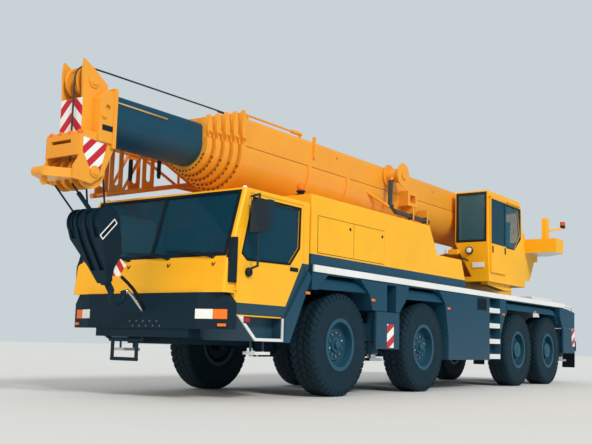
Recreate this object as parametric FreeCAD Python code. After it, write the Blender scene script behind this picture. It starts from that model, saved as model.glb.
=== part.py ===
import FreeCAD, Part
import math
import os

# Four-axle all-terrain mobile crane, in millimetres.
# Lengths along X are measured forward from axle 1 while the pieces are made, Y is to the left, Z is up
# from the ground. save() moves every piece so that the part's origin is on the ground at mid length.

V = FreeCAD.Vector
os.makedirs("parts", exist_ok=True)

# Clearances
FIT = 0.05          # shaft in its bore, on the radius
SEAT = 0.3          # faces of different pieces that meet
GAP = 6.0           # round a door or between pieces that move

# Wheels and axles
TYRE_R = 685.0
TYRE_W = 385.0
TYRE_FACE_Y = 1245.0
BEAD_R = 318.0
FLANGE_R = 352.0
BEAD_W = 344.0
RIM_WALL = 18.0
RIM_LIP = 8.0
HUB_R = 150.0
SPINDLE_R = 60.0
KINGPIN_Y = 800.0
KINGPIN_R = 35.0
EYE_R = 75.0
EYE_H = 170.0
KNUCKLE_ARM = 40.0
DRUM_R = 240.0
AXLE_R = 78.0
DIFF_R = 190.0
STRUT_R = 60.0
STRUT_Y = 300.0
# columns: number, x of the axle
AXLES = [(1, 0.0), (2, -2434.0), (3, -6401.0), (4, -8051.0)]

# Half the body's width
BODY_HALF = 1275.0

# Chassis frame and outriggers
FRAME_HALF = 420.0
FRAME_TOP = 1590.0
FRAME_BELLY = 900.0
FRAME_WALL = 20.0
FRAME_FRONT = 2300.0
FRAME_NECK = 700.0
NOSE_TOP = 980.0
NOSE_BELLY = 640.0
BEAM_W = 200.0
BEAM_LOW = 750.0
BEAM_HIGH = 1000.0
BEAM_WALL = 12.0
HOUSING_HALF = BODY_HALF - 315.0
HOUSING_WALL = 30.0
BEAM_PLAY = 5.0
JACK_Y = BODY_HALF - 155.0
JACK_R = 60.0
JACK_TUBE_R = 88.0
JACK_TUBE_LOW = 560.0
JACK_TOP = 1150.0
COVER_TOP = 1170.0
COVER_LOW = 640.0
COVER_T = 40.0
FOOT_R = 150.0
FOOT_LOW = 470.0
FOOT_T = 40.0
HOUSING_LENGTH = 2 * (BEAM_W + 2 * BEAM_PLAY) + 3 * HOUSING_WALL
# columns: name, x of the housing's front face, how far the side cover reaches behind the housing
OUTRIGGERS = [("front", -880.0, 170.0), ("rear", -8905.0, 235.0)]
FRAME_REAR = OUTRIGGERS[-1][1] - HOUSING_LENGTH

# Body sides
SKIRT_DEPTH = 315.0
SKIRT_IN = BODY_HALF - SKIRT_DEPTH
SKIRT_SPLIT = COVER_TOP + 10.0
MUD_Z = 1405.0
GUARD_T = 15.0
GUARD_IN = SKIRT_IN - 60.0
GUARD_OUT = BODY_HALF - 35.0
SLOT_X = (-1455.0, -1180.0)
BOX_LOW = 490.0
LADDER_FRONT = -4920.0
LADDER_REAR = -5410.0
LADDER_DEPTH = 165.0
TREAD_H = 85.0
TREAD_Z = [510.0, 780.0, 1060.0, 1335.0]

# Deck
DECK_TOP = 1700.0
DECK_T = 20.0
DECK_FRONT = 700.0
DECK_REAR = -9070.0
DECK_HALF = BODY_HALF - 40.0
STRIPE_T = 25.0
STRIPE_LOW = 1610.0
PLINTH_TOP = 1845.0
RIB_PITCH = 800.0
RIB_T = 30.0

# Engine cover and engine
COVER_HALF = DECK_HALF - 35.0
ENGINE_COVER_TOP = 2635.0
ENGINE_STEP_TOP = 2190.0
PANEL_T = 30.0
ENGINE_X = (-1500.0, 150.0)
ENGINE_HALF = 420.0
ENGINE_H = 780.0

# Carrier cab
CAB_HALF = BODY_HALF - 25.0
CAB_ROOF = 2490.0
CAB_WALL = 45.0
CAB_ROUND = 32.0
CAB_REAR = 820.0
DOOR_SWING_X = 2284.0
HINGE_R = 15.0
HINGE_PIN_R = 8.0
HINGE_H = 60.0
HINGE_Z = [1290.0, 1500.0]
PANE_T = 8.0
BUMPER_FRONT = 2530.0
BUMPER_HALF = BODY_HALF + 15.0
BUMPER_TOP = 1235.0
BUMPER_LOW = 820.0

# Turntable
SLEW_X = -6000.0
RING_R = 760.0
RING_TOP = 1720.0
TABLE_LOW = 1800.0
TABLE_T = 50.0
PLATE_IN = 500.0
PLATE_T = 40.0
TABLE_END = -7830.0
TABLE_REAR = -9400.0
TAIL_LOW = 2205.0
PIVOT_X = -8000.0
PIVOT_Z = 3230.0
PIVOT_PIN_R = 70.0
PIVOT_BOSS_R = 130.0

# Operator's cab
OPCAB_IN = 545.0
OPCAB_OUT = 1190.0
OPCAB_FLOOR = 2000.0
OPCAB_ROOF = 3600.0
OPCAB_WALL = 40.0
OPDOOR_T = 30.0
OPDOOR_TOP = 3480.0

# Counterweight and winch
WEIGHT_FRONT = -8640.0
WEIGHT_REAR = -9700.0
WEIGHT_LOW = 2800.0
WEIGHT_TOP = 3100.0
WEIGHT_HALF = 1240.0
WINCH_X = -8730.0
WINCH_Z = 2445.0
WINCH_R = 230.0

# Boom
BOOM_HALF = 450.0
BOOM_SEAM = PIVOT_Z + 20.0
BOOM_SIDE = 390.0
BOOM_ROUND = 550.0
BOOM_TOP = BOOM_SEAM + BOOM_SIDE
BOOM_BELLY = BOOM_SEAM - BOOM_ROUND
BOOM_WALL = 10.0
BOOM_CORNER = 60.0
BOOM_REAR = -8350.0
BOOM_FRONT = 1330.0
BOOM_BULGE = max(BOOM_HALF, (BOOM_HALF ** 2 + BOOM_ROUND ** 2) / (2 * BOOM_ROUND))
SECTION_STEP_Y = 36.0
SECTION_STEP_Z = 40.0
SECTIONS = 5
COLLAR_PITCH = 130.0
COLLAR_W = 95.0
COLLAR_PLATE = 30.0
GUIDE_T = 60.0
COLLAR_OUT = 45.0
LEAF_HALF = 45.0
LEAF_H = 75.0
SADDLE_W = 90.0
SADDLE_OUT = 18.0
SADDLES = [-300.0, -1350.0]
REEL_X = -2650.0
REEL_Z = 3495.0
REEL_R = 200.0
PIPE_Y = 600.0
PIPE_R = 38.0
SECTION_REAR = -7700.0
HEAD_REAR = 3345.0

# Luffing cylinder
FOOT_X = -6750.0
FOOT_Z = 2000.0
ROD_PIN_X = -3050.0
ROD_PIN_Z = 2460.0
BARREL_R = 140.0
BARREL_WALL = 30.0
ROD_SHOWN = 430.0
ROD_R = 75.0
LUFF_EYE_R = 115.0
LUFF_EYE_HALF = 125.0
LUFF_LUG_IN = 150.0
LUFF_LUG_T = 40.0
BARREL_L = math.hypot(ROD_PIN_X - FOOT_X, ROD_PIN_Z - FOOT_Z) - LUFF_EYE_R - ROD_SHOWN

# Boom head, hook block and stowed jib
HEAD_HALF = 300.0
CHEEK_HALF = 180.0
LOWER_HALF = 275.0
HEAD_PLATE = 30.0
SHEAVE_R = 185.0
NOSE_X = 4180.0
TAIL_X = -9980.0
SHEAVE_HALF = 18.0
SHEAVE_GROOVE = 14.0
ROPE_R = 11.0
SHEAVE_SHAFT_R = 45.0
HOOK_BECKET = (3350.0, 2010.0)
JIB_Y = -760.0
JIB_HALF = 130.0
CHORD_R = 32.0

X_SHIFT = -(NOSE_X + TAIL_X) / 2
WHEEL_Y = TYRE_FACE_Y - TYRE_W / 2
WAYS = {"x": V(1, 0, 0), "y": V(0, 1, 0), "z": V(0, 0, 1)}


def point(along, level, a, b):
    """The point whose place along one axis is level and whose two others are a and b, in X, Y, Z order."""
    return {"x": V(level, a, b), "y": V(a, level, b), "z": V(a, b, level)}[along]


def prism(outline, along, low, high):
    """A solid with straight edges: the outline swept along one axis from low to high."""
    corners = [point(along, low, a, b) for a, b in outline]
    face = Part.Face(Part.makePolygon(corners + corners[:1]))
    return face.extrude(WAYS[along] * (high - low))


def block(x0, x1, y0, y1, z0, z1):
    """A plain box between six planes."""
    return Part.makeBox(abs(x1 - x0), abs(y1 - y0), abs(z1 - z0), V(min(x0, x1), min(y0, y1), min(z0, z1)))


def bar(start, end, radius):
    """A round bar between two points."""
    run = V(*end) - V(*start)
    return Part.makeCylinder(radius, run.Length, V(*start), run)


def piping(points, radius):
    """Round bars from point to point, with a slightly larger ball at each bend."""
    runs = [bar(a, b, radius) for a, b in zip(points, points[1:])]
    balls = [Part.makeSphere(radius + 2, V(*p)) for p in points[1:-1]]
    return fuse(*runs, *balls)


def disc(along, centre, low, high, radius):
    """A round disc about an axis line through centre, from low to high along it."""
    a, b = centre
    return Part.makeCylinder(radius, high - low, point(along, low, a, b), WAYS[along])


def fuse(*shapes):
    whole = shapes[0].multiFuse(list(shapes[1:])) if len(shapes) > 1 else shapes[0]
    return whole.removeSplitter()


def mirrored(shape):
    """The same piece on the other side of the vehicle."""
    return shape.mirror(V(0, 0, 0), V(0, 1, 0))


def both(shape):
    return [shape, mirrored(shape)]


def moved_out(outline, by):
    """The outline with each straight side moved out by a distance, or in where it is negative."""
    area = sum(a[0] * b[1] - b[0] * a[1] for a, b in zip(outline, outline[1:] + outline[:1]))
    turn = 1 if area > 0 else -1
    sides = []
    for a, b in zip(outline, outline[1:] + outline[:1]):
        length = math.hypot(b[0] - a[0], b[1] - a[1])
        nx, ny = turn * (b[1] - a[1]) / length, -turn * (b[0] - a[0]) / length
        sides.append((nx, ny, nx * a[0] + ny * a[1] + by))
    corners = []
    for (ax, ay, ad), (bx, by_, bd) in zip(sides[-1:] + sides[:-1], sides):
        cross = ax * by_ - ay * bx
        corners.append(((ad * by_ - bd * ay) / cross, (ax * bd - bx * ad) / cross))
    return corners


def grown(outline, along, low, high, by):
    """As prism, with the outline moved out by a distance, or in where it is negative."""
    return prism(moved_out(outline, by), along, low, high)


def spun(profile, x, y, z):
    """A turned piece about the Y direction: profile columns are radius and place along the axis."""
    corners = [V(r, a, 0) for r, a in profile]
    face = Part.Face(Part.makePolygon(corners + corners[:1]))
    turned = face.revolve(V(0, 0, 0), V(0, 1, 0), 360)
    turned.translate(V(x, y, z))
    return turned


def rounded(shape, radius, wanted):
    """The shape with a round on each edge whose middle point is wanted."""
    return shape.makeFillet(radius, [edge for edge in shape.Edges if wanted(edge.CenterOfMass)])


def save(node, *shapes):
    """Write one sub-part, moved to the part's own origin."""
    solids = [solid for shape in shapes for solid in shape.Solids]
    whole = Part.makeCompound(solids) if len(solids) > 1 else solids[0].copy()
    whole.translate(V(X_SHIFT, 0, 0))
    whole.exportStep("parts/" + node + ".step")
    volume = sum(solid.Volume for solid in solids) / 1e9
    print(f"{node}: {len(solids)} solids, {volume:.4f} m3, valid {whole.isValid()}")


# Chassis frame: a hollow box spine with a low nose under the cab and the slewing ring's base
FRAME_SIDE = [(FRAME_REAR, FRAME_BELLY), (FRAME_REAR, FRAME_TOP), (FRAME_NECK, FRAME_TOP),
              (FRAME_NECK + 60, NOSE_TOP), (FRAME_FRONT, NOSE_TOP), (FRAME_FRONT, NOSE_BELLY),
              (FRAME_NECK + 300, NOSE_BELLY), (FRAME_NECK, FRAME_BELLY)]


def beam_slots(front):
    """The X range of the left beam and of the right beam behind a housing's front face."""
    left = front - HOUSING_WALL - BEAM_PLAY
    right = left - BEAM_W - 2 * BEAM_PLAY - HOUSING_WALL
    return [(left - BEAM_W, left), (right - BEAM_W, right)]


def slot_cuts():
    """The room for every outrigger beam, right across the vehicle."""
    return [block(x0 - BEAM_PLAY, x1 + BEAM_PLAY, -HOUSING_HALF, HOUSING_HALF, BEAM_LOW - SEAT,
                  BEAM_HIGH + BEAM_PLAY) for _, front, _ in OUTRIGGERS for x0, x1 in beam_slots(front)]


def chassis_frame():
    inner = FRAME_HALF - FRAME_WALL
    body = prism(FRAME_SIDE, "y", -FRAME_HALF, FRAME_HALF)
    body = body.cut(grown(FRAME_SIDE, "y", -inner, inner, -FRAME_WALL))
    ring = disc("z", (SLEW_X, 0), FRAME_TOP - FRAME_WALL, RING_TOP - SEAT, RING_R)
    return fuse(body, ring).cut(slot_cuts())


def outrigger_housing(front):
    """A cross housing for one left and one right beam, notched round the frame."""
    low, high = BEAM_LOW - BEAM_PLAY - HOUSING_WALL, BEAM_HIGH + BEAM_PLAY + HOUSING_WALL
    box = block(front - HOUSING_LENGTH, front, -HOUSING_HALF, HOUSING_HALF, low, high)
    return box.cut(prism(FRAME_SIDE, "y", -FRAME_HALF, FRAME_HALF)).cut(slot_cuts())


save("chassis_frame", chassis_frame())
save("outrigger_housings", *[outrigger_housing(front) for _, front, _ in OUTRIGGERS])


# Axle beams with their drive bulge, kingpin eyes and suspension struts
def axle(x):
    z = TYRE_R
    beam = bar((x, -KINGPIN_Y, z), (x, KINGPIN_Y, z), AXLE_R)
    bulge = spun([(0, -DIFF_R), (DIFF_R * 0.6, -DIFF_R), (DIFF_R, -DIFF_R * 0.4), (DIFF_R, DIFF_R * 0.4),
                  (DIFF_R * 0.6, DIFF_R), (0, DIFF_R)], x, 0, z)
    parts = [beam, bulge]
    cuts = []
    for side in (-1, 1):
        centre = (x, side * KINGPIN_Y)
        cuts.append(disc("z", centre, z - EYE_H, z + EYE_H, EYE_R))
        cuts.append(block(x - EYE_R * 2, x + EYE_R * 2, side * KINGPIN_Y, side * (KINGPIN_Y + EYE_R * 2),
                          z - EYE_H, z + EYE_H))
    shaft = fuse(*parts).cut(cuts)
    adds = [shaft]
    for side in (-1, 1):
        centre = (x, side * KINGPIN_Y)
        adds.append(disc("z", centre, z - EYE_H / 2, z + EYE_H / 2, EYE_R))
        adds.append(disc("z", (x, side * STRUT_Y), z, FRAME_BELLY, STRUT_R))
    bores = [disc("z", (x, side * KINGPIN_Y), z - EYE_H, z + EYE_H, KINGPIN_R + FIT) for side in (-1, 1)]
    return fuse(*adds).cut(bores)


save("axles", *[axle(x) for _, x in AXLES])


# Steering knuckles: arms above and below the axle's eye, the kingpin, a brake drum and the spindle
def knuckle(x):
    z = TYRE_R
    reach = KINGPIN_Y + EYE_R + GAP
    drum_out = WHEEL_Y - 60 - GAP
    pin_low, pin_high = z - EYE_H / 2 - KNUCKLE_ARM, z + EYE_H / 2 + KNUCKLE_ARM
    arms = []
    for low in (pin_low - SEAT, z + EYE_H / 2 + SEAT):
        arms.append(disc("z", (x, KINGPIN_Y), low, low + KNUCKLE_ARM, EYE_R))
        arms.append(block(x - EYE_R, x + EYE_R, KINGPIN_Y, reach, low, low + KNUCKLE_ARM))
    pin = disc("z", (x, KINGPIN_Y), pin_low, pin_high, KINGPIN_R)
    plate = block(x - 110, x + 110, reach, reach + 20, pin_low, pin_high)
    drum = disc("y", (x, z), reach + 20 - 1, drum_out, DRUM_R)
    spindle = disc("y", (x, z), drum_out, WHEEL_Y + 60 - SEAT, SPINDLE_R)
    return fuse(*arms, pin, plate, drum, spindle)


# Wheels: a dished steel rim with its hub and a tyre seated on it
DISH_OUT = 70.0
# columns: radius, place along the axle outside the wheel's middle
HUB_RING = [(205, 84), (222, 66), (262, 66)]
CAP_HUB = [(0, 160), (42, 160), (58, 146), (58, 112), (102, 112), (112, 84)] + HUB_RING
GEAR_HUB = [(0, 182), (62, 182), (76, 170), (138, 170), (152, 158), (158, 84)] + HUB_RING


def wheel(x, hub):
    half = BEAD_W / 2
    seat = BEAD_R - RIM_WALL
    rim = spun(hub + [(seat, DISH_OUT), (seat, half + RIM_LIP),
                (FLANGE_R, half + RIM_LIP), (FLANGE_R, half + SEAT), (BEAD_R, half + SEAT),
                (BEAD_R, -half - SEAT), (FLANGE_R, -half - SEAT), (FLANGE_R, -half - RIM_LIP),
                (seat, -half - RIM_LIP), (seat, 50), (HUB_R, 50), (HUB_R, -60), (SPINDLE_R + FIT, -60),
                (SPINDLE_R + FIT, 60), (0, 60)], x, WHEEL_Y, TYRE_R)
    wide = TYRE_W / 2
    side = [(BEAD_R + SEAT, half), (FLANGE_R + 10, half), (BEAD_R + 140, wide), (TYRE_R - 90, wide - 4),
            (TYRE_R - 28, wide - 22), (TYRE_R, wide - 60)]
    tyre = spun(side + [(r, -a) for r, a in reversed(side)], x, WHEEL_Y, TYRE_R)
    return [rim, tyre]


for number, x in AXLES:
    made = knuckle(x)
    save(f"knuckle_{number}_left", made)
    save(f"knuckle_{number}_right", mirrored(made))
    rim, tyre = wheel(x, CAP_HUB if number < 3 else GEAR_HUB)
    save(f"wheel_{number}_left", rim, tyre)
    save(f"wheel_{number}_right", mirrored(rim), mirrored(tyre))


# Outrigger beams with their jack tubes and end covers, and the jacks with their feet
def outrigger_beam(slot, front, rear):
    x0, x1 = slot
    mid = (x0 + x1) / 2
    low, high = BEAM_LOW, BEAM_HIGH
    outer = BODY_HALF - COVER_T
    tail = -HOUSING_HALF + 20
    tube = block(x0, x1, tail, outer, low, high)
    hollow = block(x0 + BEAM_WALL, x1 - BEAM_WALL, tail, SKIRT_IN, low + BEAM_WALL, high - BEAM_WALL)
    jack_tube = disc("z", (mid, JACK_Y), JACK_TUBE_LOW, JACK_TOP + 10, JACK_TUBE_R)
    cover = block(rear, front, outer, BODY_HALF, COVER_LOW, COVER_TOP)
    bore = disc("z", (mid, JACK_Y), JACK_TUBE_LOW - 1, JACK_TOP, JACK_R + FIT)
    return fuse(tube.cut(hollow), jack_tube, cover).cut(bore)


def jack(slot):
    mid = sum(slot) / 2
    leg = disc("z", (mid, JACK_Y), FOOT_LOW + FOOT_T, JACK_TOP - SEAT, JACK_R)
    foot = disc("z", (mid, JACK_Y), FOOT_LOW, FOOT_LOW + FOOT_T, FOOT_R)
    return fuse(leg, foot)


for name, front, overhang in OUTRIGGERS:
    left, right = beam_slots(front)
    rear = right[0] - BEAM_PLAY - HOUSING_WALL - overhang
    save(f"outrigger_beam_{name}_left", outrigger_beam(left, front, rear))
    save(f"outrigger_beam_{name}_right", mirrored(outrigger_beam(right, front, rear)))
    save(f"jack_{name}_left", jack(left))
    save(f"jack_{name}_right", mirrored(jack(right)))


# Deck: a ribbed tray on the frame with a white edge rail and the grey plinth of the engine cover
def deck():
    slab = block(DECK_REAR, DECK_FRONT, -DECK_HALF, DECK_HALF, FRAME_TOP, DECK_TOP)
    pockets = []
    x = DECK_REAR + RIB_T
    while x < DECK_FRONT - RIB_T:
        end = min(x + RIB_PITCH, DECK_FRONT - RIB_T)
        pockets.append(block(x, end, -DECK_HALF + RIB_T, DECK_HALF - RIB_T, FRAME_TOP, DECK_TOP - DECK_T))
        x = end + RIB_T
    tray = slab.cut(pockets).cut(disc("z", (SLEW_X, 0), FRAME_TOP - 1, DECK_TOP + 1, RING_R + GAP))
    return tray


def plinth():
    outer = block(-4060, DECK_FRONT, -COVER_HALF, COVER_HALF, DECK_TOP, PLINTH_TOP)
    inner = block(-4060 + PANEL_T, DECK_FRONT - PANEL_T, -COVER_HALF + PANEL_T, COVER_HALF - PANEL_T,
                  DECK_TOP, PLINTH_TOP)
    return outer.cut(inner)


save("deck", fuse(deck(), plinth()))
save("stripe_rails", *both(block(DECK_REAR, DECK_FRONT, DECK_HALF, DECK_HALF + STRIPE_T,
                                 STRIPE_LOW, DECK_TOP)))


# Side boxes between the wheels, mudguard bands and the front wings behind the doors
def side_panel(outline, inner=SKIRT_IN):
    return prism(outline, "y", inner, BODY_HALF)


COVER_REAR = OUTRIGGERS[0][1] - HOUSING_LENGTH - OUTRIGGERS[0][2]
SIDE_REAR = FRAME_REAR - OUTRIGGERS[1][2]
side_panels = [
    side_panel([(850, 1600), (780, 1530), (1230, 690), (1330 - SEAT, 690), (1330 - SEAT, NOSE_TOP)], 950),
    side_panel([(390, FRAME_TOP), (640, 1376), (770, 1376), (770, FRAME_TOP)]),
    side_panel([(-430, FRAME_TOP), (-680, MUD_Z), (-775, SKIRT_SPLIT), (COVER_REAR, SKIRT_SPLIT),
                (-1744, 1350), (-1864, FRAME_TOP)]),
    side_panel([(-2894, FRAME_TOP), (-3114, 1390), (-3236, 860), (-3240, BOX_LOW), (LADDER_FRONT, BOX_LOW),
                (LADDER_FRONT, FRAME_TOP)]),
    side_panel([(LADDER_REAR, BOX_LOW), (LADDER_REAR, FRAME_TOP), (-5700, FRAME_TOP), (-5700, MUD_Z),
                (-5440, 960)]),
    side_panel([(-8700, FRAME_TOP), (-8700, MUD_Z), (-8860, SKIRT_SPLIT), (SIDE_REAR, SKIRT_SPLIT),
                (SIDE_REAR - 30, FRAME_TOP - 60), (DECK_REAR - 60, FRAME_TOP)]),
]
beam_window = block(SLOT_X[0], SLOT_X[1], SKIRT_IN, BODY_HALF, COVER_TOP, FRAME_TOP - 20)
side_panels = [panel.cut(beam_window) for panel in side_panels]
# columns: x and z of the front foot, x of the flat top's two ends, x and z of the rear foot, z of the lip
GUARDS = [((625, 1390), (390, -430), (-665, 1418), 1392),
          ((-1764, 1390), (-1864, -2894), (-3090, 1412), 1392),
          ((-5753, 1304), (-5906, -8341), (-8650, 1250), 1425)]


def guard_form(outline, lip, wall):
    """The filled form of a tyre guard, with its upper outer edge rolled, drawn in by a wall."""
    rear, front = min(outline)[0], max(outline)[0]
    roll = FRAME_TOP - lip
    edge = block(rear, front, GUARD_OUT - roll, GUARD_OUT, lip, FRAME_TOP)
    edge = edge.cut(disc("x", (GUARD_OUT - roll, lip), rear, front, roll - wall))
    return prism(outline, "y", GUARD_IN, GUARD_OUT - wall).cut(edge)


def mudguard(front, top, rear, lip):
    """A pressed guard over a tyre, open below, and outwards below its lip."""
    wall, low = GUARD_T, min(front[1], rear[1]) - 1
    outer = [front, (top[0], FRAME_TOP), (top[1], FRAME_TOP), rear]
    inner = [(front[0] - 2 * wall, low), (front[0] - 2 * wall, front[1]), (top[0] - wall, FRAME_TOP - wall),
             (top[1] + wall, FRAME_TOP - wall), (rear[0] + 2 * wall, rear[1]), (rear[0] + 2 * wall, low)]
    mouth = prism(inner, "y", GUARD_IN, GUARD_OUT)
    mouth = mouth.common(block(rear[0], front[0], GUARD_IN, GUARD_OUT, low, lip))
    return guard_form(outer, lip, 0).cut(guard_form(inner, lip, wall)).cut(mouth)


guards = [mudguard(*row) for row in GUARDS]
save("side_panels", *[piece for panel in side_panels + guards for piece in both(panel)])


def ladder():
    """Recessed steps up to the deck between the tank box and the third axle."""
    back = block(LADDER_REAR, LADDER_FRONT, SKIRT_IN, BODY_HALF - LADDER_DEPTH, BOX_LOW, FRAME_TOP)
    treads = [block(LADDER_REAR, LADDER_FRONT, BODY_HALF - LADDER_DEPTH, BODY_HALF - 3, z, z + TREAD_H)
              for z in TREAD_Z]
    return fuse(back, *treads)


# Front bumper with the tow frame that hangs below it and a pocket for the lamps on each corner
LAMP_Y = (870.0, 1250.0)
LAMP_Z = (930.0, 1050.0)
LAMP_DEPTH = 40.0
LAMP_T = 25.0
CORNER_SLANT = (2400 - BUMPER_FRONT) / (BUMPER_HALF - 900)


def lamp_pocket(depth, thick=200.0, inset=0.0):
    """The room of the left lamps, from a depth behind the bumper's slanted face outwards."""
    plan = []
    inner, outer = LAMP_Y[0] + inset, LAMP_Y[1] - inset
    for y, out in ((inner, 0), (outer, 0), (outer, 1), (inner, 1)):
        plan.append((BUMPER_FRONT + CORNER_SLANT * (y - 900) - depth + out * thick, y))
    return prism(plan, "z", LAMP_Z[0] + inset, LAMP_Z[1] - inset)


def bumper():
    plan = [(FRAME_FRONT, -BUMPER_HALF), (2400, -BUMPER_HALF), (BUMPER_FRONT, -900), (BUMPER_FRONT, 900),
            (2400, BUMPER_HALF), (FRAME_FRONT, BUMPER_HALF)]
    body = prism(plan, "z", BUMPER_LOW, BUMPER_TOP)
    edge, above = BUMPER_HALF + 1, BUMPER_TOP + 1
    corner = prism([(BUMPER_HALF - 110, above), (edge, above), (edge, 1120)], "x",
                   FRAME_FRONT, BUMPER_FRONT + 1)
    body = body.cut(both(corner)).cut(both(lamp_pocket(LAMP_DEPTH)))
    chin = block(FRAME_FRONT, BUMPER_FRONT - 15, -760, 760, 720, BUMPER_LOW)
    bars = [bar((2480, y0, z0), (2480, y1, z1), 22) for y0, z0, y1, z1 in
            [(-710, 800, -520, 680), (20, 740, 20, 670), (-540, 680, 30, 680), (-490, 680, -490, 450),
             (-80, 680, -80, 450), (-505, 450, -65, 450)]]
    return fuse(body, chin, *bars)


save("front_bumper", bumper())


# Carrier cab: a hollow shell with door openings, windscreens and a rear window cut out
CAB_SIDE = [(CAB_REAR, CAB_ROOF), (2140, CAB_ROOF), (2400, 1650), (2450, 1600), (2500, BUMPER_TOP),
            (FRAME_FRONT, BUMPER_TOP), (FRAME_FRONT, NOSE_TOP), (1330, NOSE_TOP), (850, 1600),
            (CAB_REAR, 1640)]
DOOR_SIDE = [(2060, 2425), (960, 2425), (935, 1640), (900, 1600), (1345, 1000), (2270, 1000), (2270, 1580)]
DOOR_WINDOW = [(1990, 2365), (1040, 2365), (1050, 1880), (1240, 1670), (2080, 1650), (2165, 1710)]
SCREEN_SLANT = (2400 - 2140) / (1650 - CAB_ROOF)


def hinge(z):
    """A door hinge's pieces: the door's barrel and strap, the cab's pin with its two knuckles, the bore."""
    y = CAB_HALF + HINGE_R + 2
    centre = (DOOR_SWING_X, y)
    top = z + HINGE_H
    door_side = [disc("z", centre, z, top, HINGE_R),
                 block(DOOR_SWING_X - 60, DOOR_SWING_X, CAB_HALF, CAB_HALF + 10, z, top)]
    cab_side = [disc("z", centre, z - 25, top + 25, HINGE_PIN_R)]
    for low, high in ((z - 25, z - SEAT), (top + SEAT, top + 25)):
        cab_side.append(disc("z", centre, low, high, HINGE_R))
        cab_side.append(block(DOOR_SWING_X, DOOR_SWING_X + 50, CAB_HALF, CAB_HALF + 10, low, high))
    return door_side, cab_side, disc("z", centre, z - 1, top + 1, HINGE_PIN_R + FIT)


def screen_x(z):
    """The outer face of the windscreen at a height."""
    return 2140 + SCREEN_SLANT * (z - CAB_ROOF)


def screen(y0, y1, out, back):
    """A slanted pane or its opening, between two distances behind the windscreen's outer face."""
    low, high = 1700, 2430
    return prism([(screen_x(low) - out, low), (screen_x(high) - out, high),
                  (screen_x(high) - back, high), (screen_x(low) - back, low)], "y", y0, y1)


def cab_edge(middle):
    """Whether an edge of the cab is one of those pressed round: round the roof and up the front corners."""
    corner = abs(middle.y) > CAB_HALF - 1 and middle.x > DOOR_SWING_X - 50 and middle.z > BUMPER_TOP + 1
    return corner or middle.z > CAB_ROOF - 1


def carrier_cab():
    half = CAB_HALF - CAB_WALL
    outer = rounded(prism(CAB_SIDE, "y", -CAB_HALF, CAB_HALF), CAB_ROUND, cab_edge)
    shell = outer.cut(grown(CAB_SIDE, "y", -half, half, -CAB_WALL))
    shell = shell.cut(both(grown(DOOR_SIDE, "y", half - 1, CAB_HALF + 1, GAP)))
    panes = []
    for y0, y1 in ((-1150, -20), (20, 1150)):
        shell = shell.cut(screen(y0, y1, -60, 200))
        panes.append(screen(y0, y1, 18, 18 + PANE_T))
    shell = shell.cut(block(CAB_REAR - 1, CAB_REAR + CAB_WALL + 1, -700, 700, 1950, 2350))
    panes.append(block(CAB_REAR + 15, CAB_REAR + 15 + PANE_T, -700, 700, 1950, 2350))
    pins = []
    for z in HINGE_Z:
        for piece in hinge(z)[1]:
            pins += both(piece)
    return fuse(shell, *pins), panes


cab_shell, cab_panes = carrier_cab()
save("cab_shell", cab_shell)
save("cab_glass", *cab_panes, *both(lamp_pocket(LAMP_DEPTH - SEAT, LAMP_T, 3)))


def cab_door():
    """The left door with its window frame, hinge barrels and the mirror on its two arms."""
    inner = CAB_HALF - CAB_WALL
    panel = prism(DOOR_SIDE, "y", inner, CAB_HALF).cut(prism(DOOR_WINDOW, "y", inner, CAB_HALF))
    barrels = [piece for z in HINGE_Z for piece in hinge(z)[0]]
    mirror = block(2020, 2110, 1300, 1570, 1950, 2320)
    arms = [piping([(2080, CAB_HALF - 5, 1510), (2080, 1400, 1560), (2080, 1400, 1960)], 14),
            piping([(2060, CAB_HALF - 5, 2385), (2080, 1400, 2395), (2080, 1400, 2310)], 14)]
    return fuse(panel, *barrels, mirror, *arms).cut([hinge(z)[2] for z in HINGE_Z])


door = cab_door()
pane = prism(DOOR_WINDOW, "y", CAB_HALF - CAB_WALL / 2 - PANE_T / 2, CAB_HALF - CAB_WALL / 2 + PANE_T / 2)
save("door_left", door)
save("door_right", mirrored(door))
save("door_glass_left", pane)
save("door_glass_right", mirrored(pane))


# Step frames below the doors and the front wings behind them
def step_frame():
    outline = [(2225, NOSE_TOP), (1890, 700), (1330, 700), (1330, NOSE_TOP)]
    frame = prism(outline, "y", FRAME_HALF, CAB_HALF).cut(grown(outline, "y", 1100, CAB_HALF, -35))
    mouth = block(1365, 2120, 1100, CAB_HALF, 900, NOSE_TOP)
    low_step = block(1500, 1800, 1000, 1180, 540, 575)
    hangers = [block(x, x + 20, 1080, 1100, 575, 700) for x in (1520, 1760)]
    return fuse(frame.cut(mouth), low_step, *hangers)


save("steps", *both(step_frame()), *both(ladder()))


def cab_interior():
    """Two seats on their bases, the dashboard and the steering wheel."""
    floor = NOSE_TOP + CAB_WALL
    pieces = []
    for y in (-620, 620):
        base = block(1390, 1690, y - 170, y + 170, floor, floor + 330)
        cushion = block(1300, 1800, y - 250, y + 250, floor + 330, floor + 450)
        back = prism([(1300, floor + 450), (1430, floor + 450), (1280, floor + 1150), (1180, floor + 1150)],
                     "y", y - 240, y + 240)
        pieces.append(fuse(base, cushion, back))
    dash = prism([(2250, floor), (2250, floor + 560), (2160, floor + 600), (2000, floor + 420),
                  (2050, floor)], "y", -1150, 1150)
    column = bar((2080, 620, floor + 480), (1950, 620, floor + 620), 30)
    wheel = Part.makeTorus(220, 14, V(1950, 620, floor + 620), V(-130, 0, 140))
    spoke = block(1935, 1965, 410, 830, floor + 605, floor + 635)
    pieces.append(fuse(dash, column, wheel, spoke))
    return pieces


save("cab_interior", *cab_interior())


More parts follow.
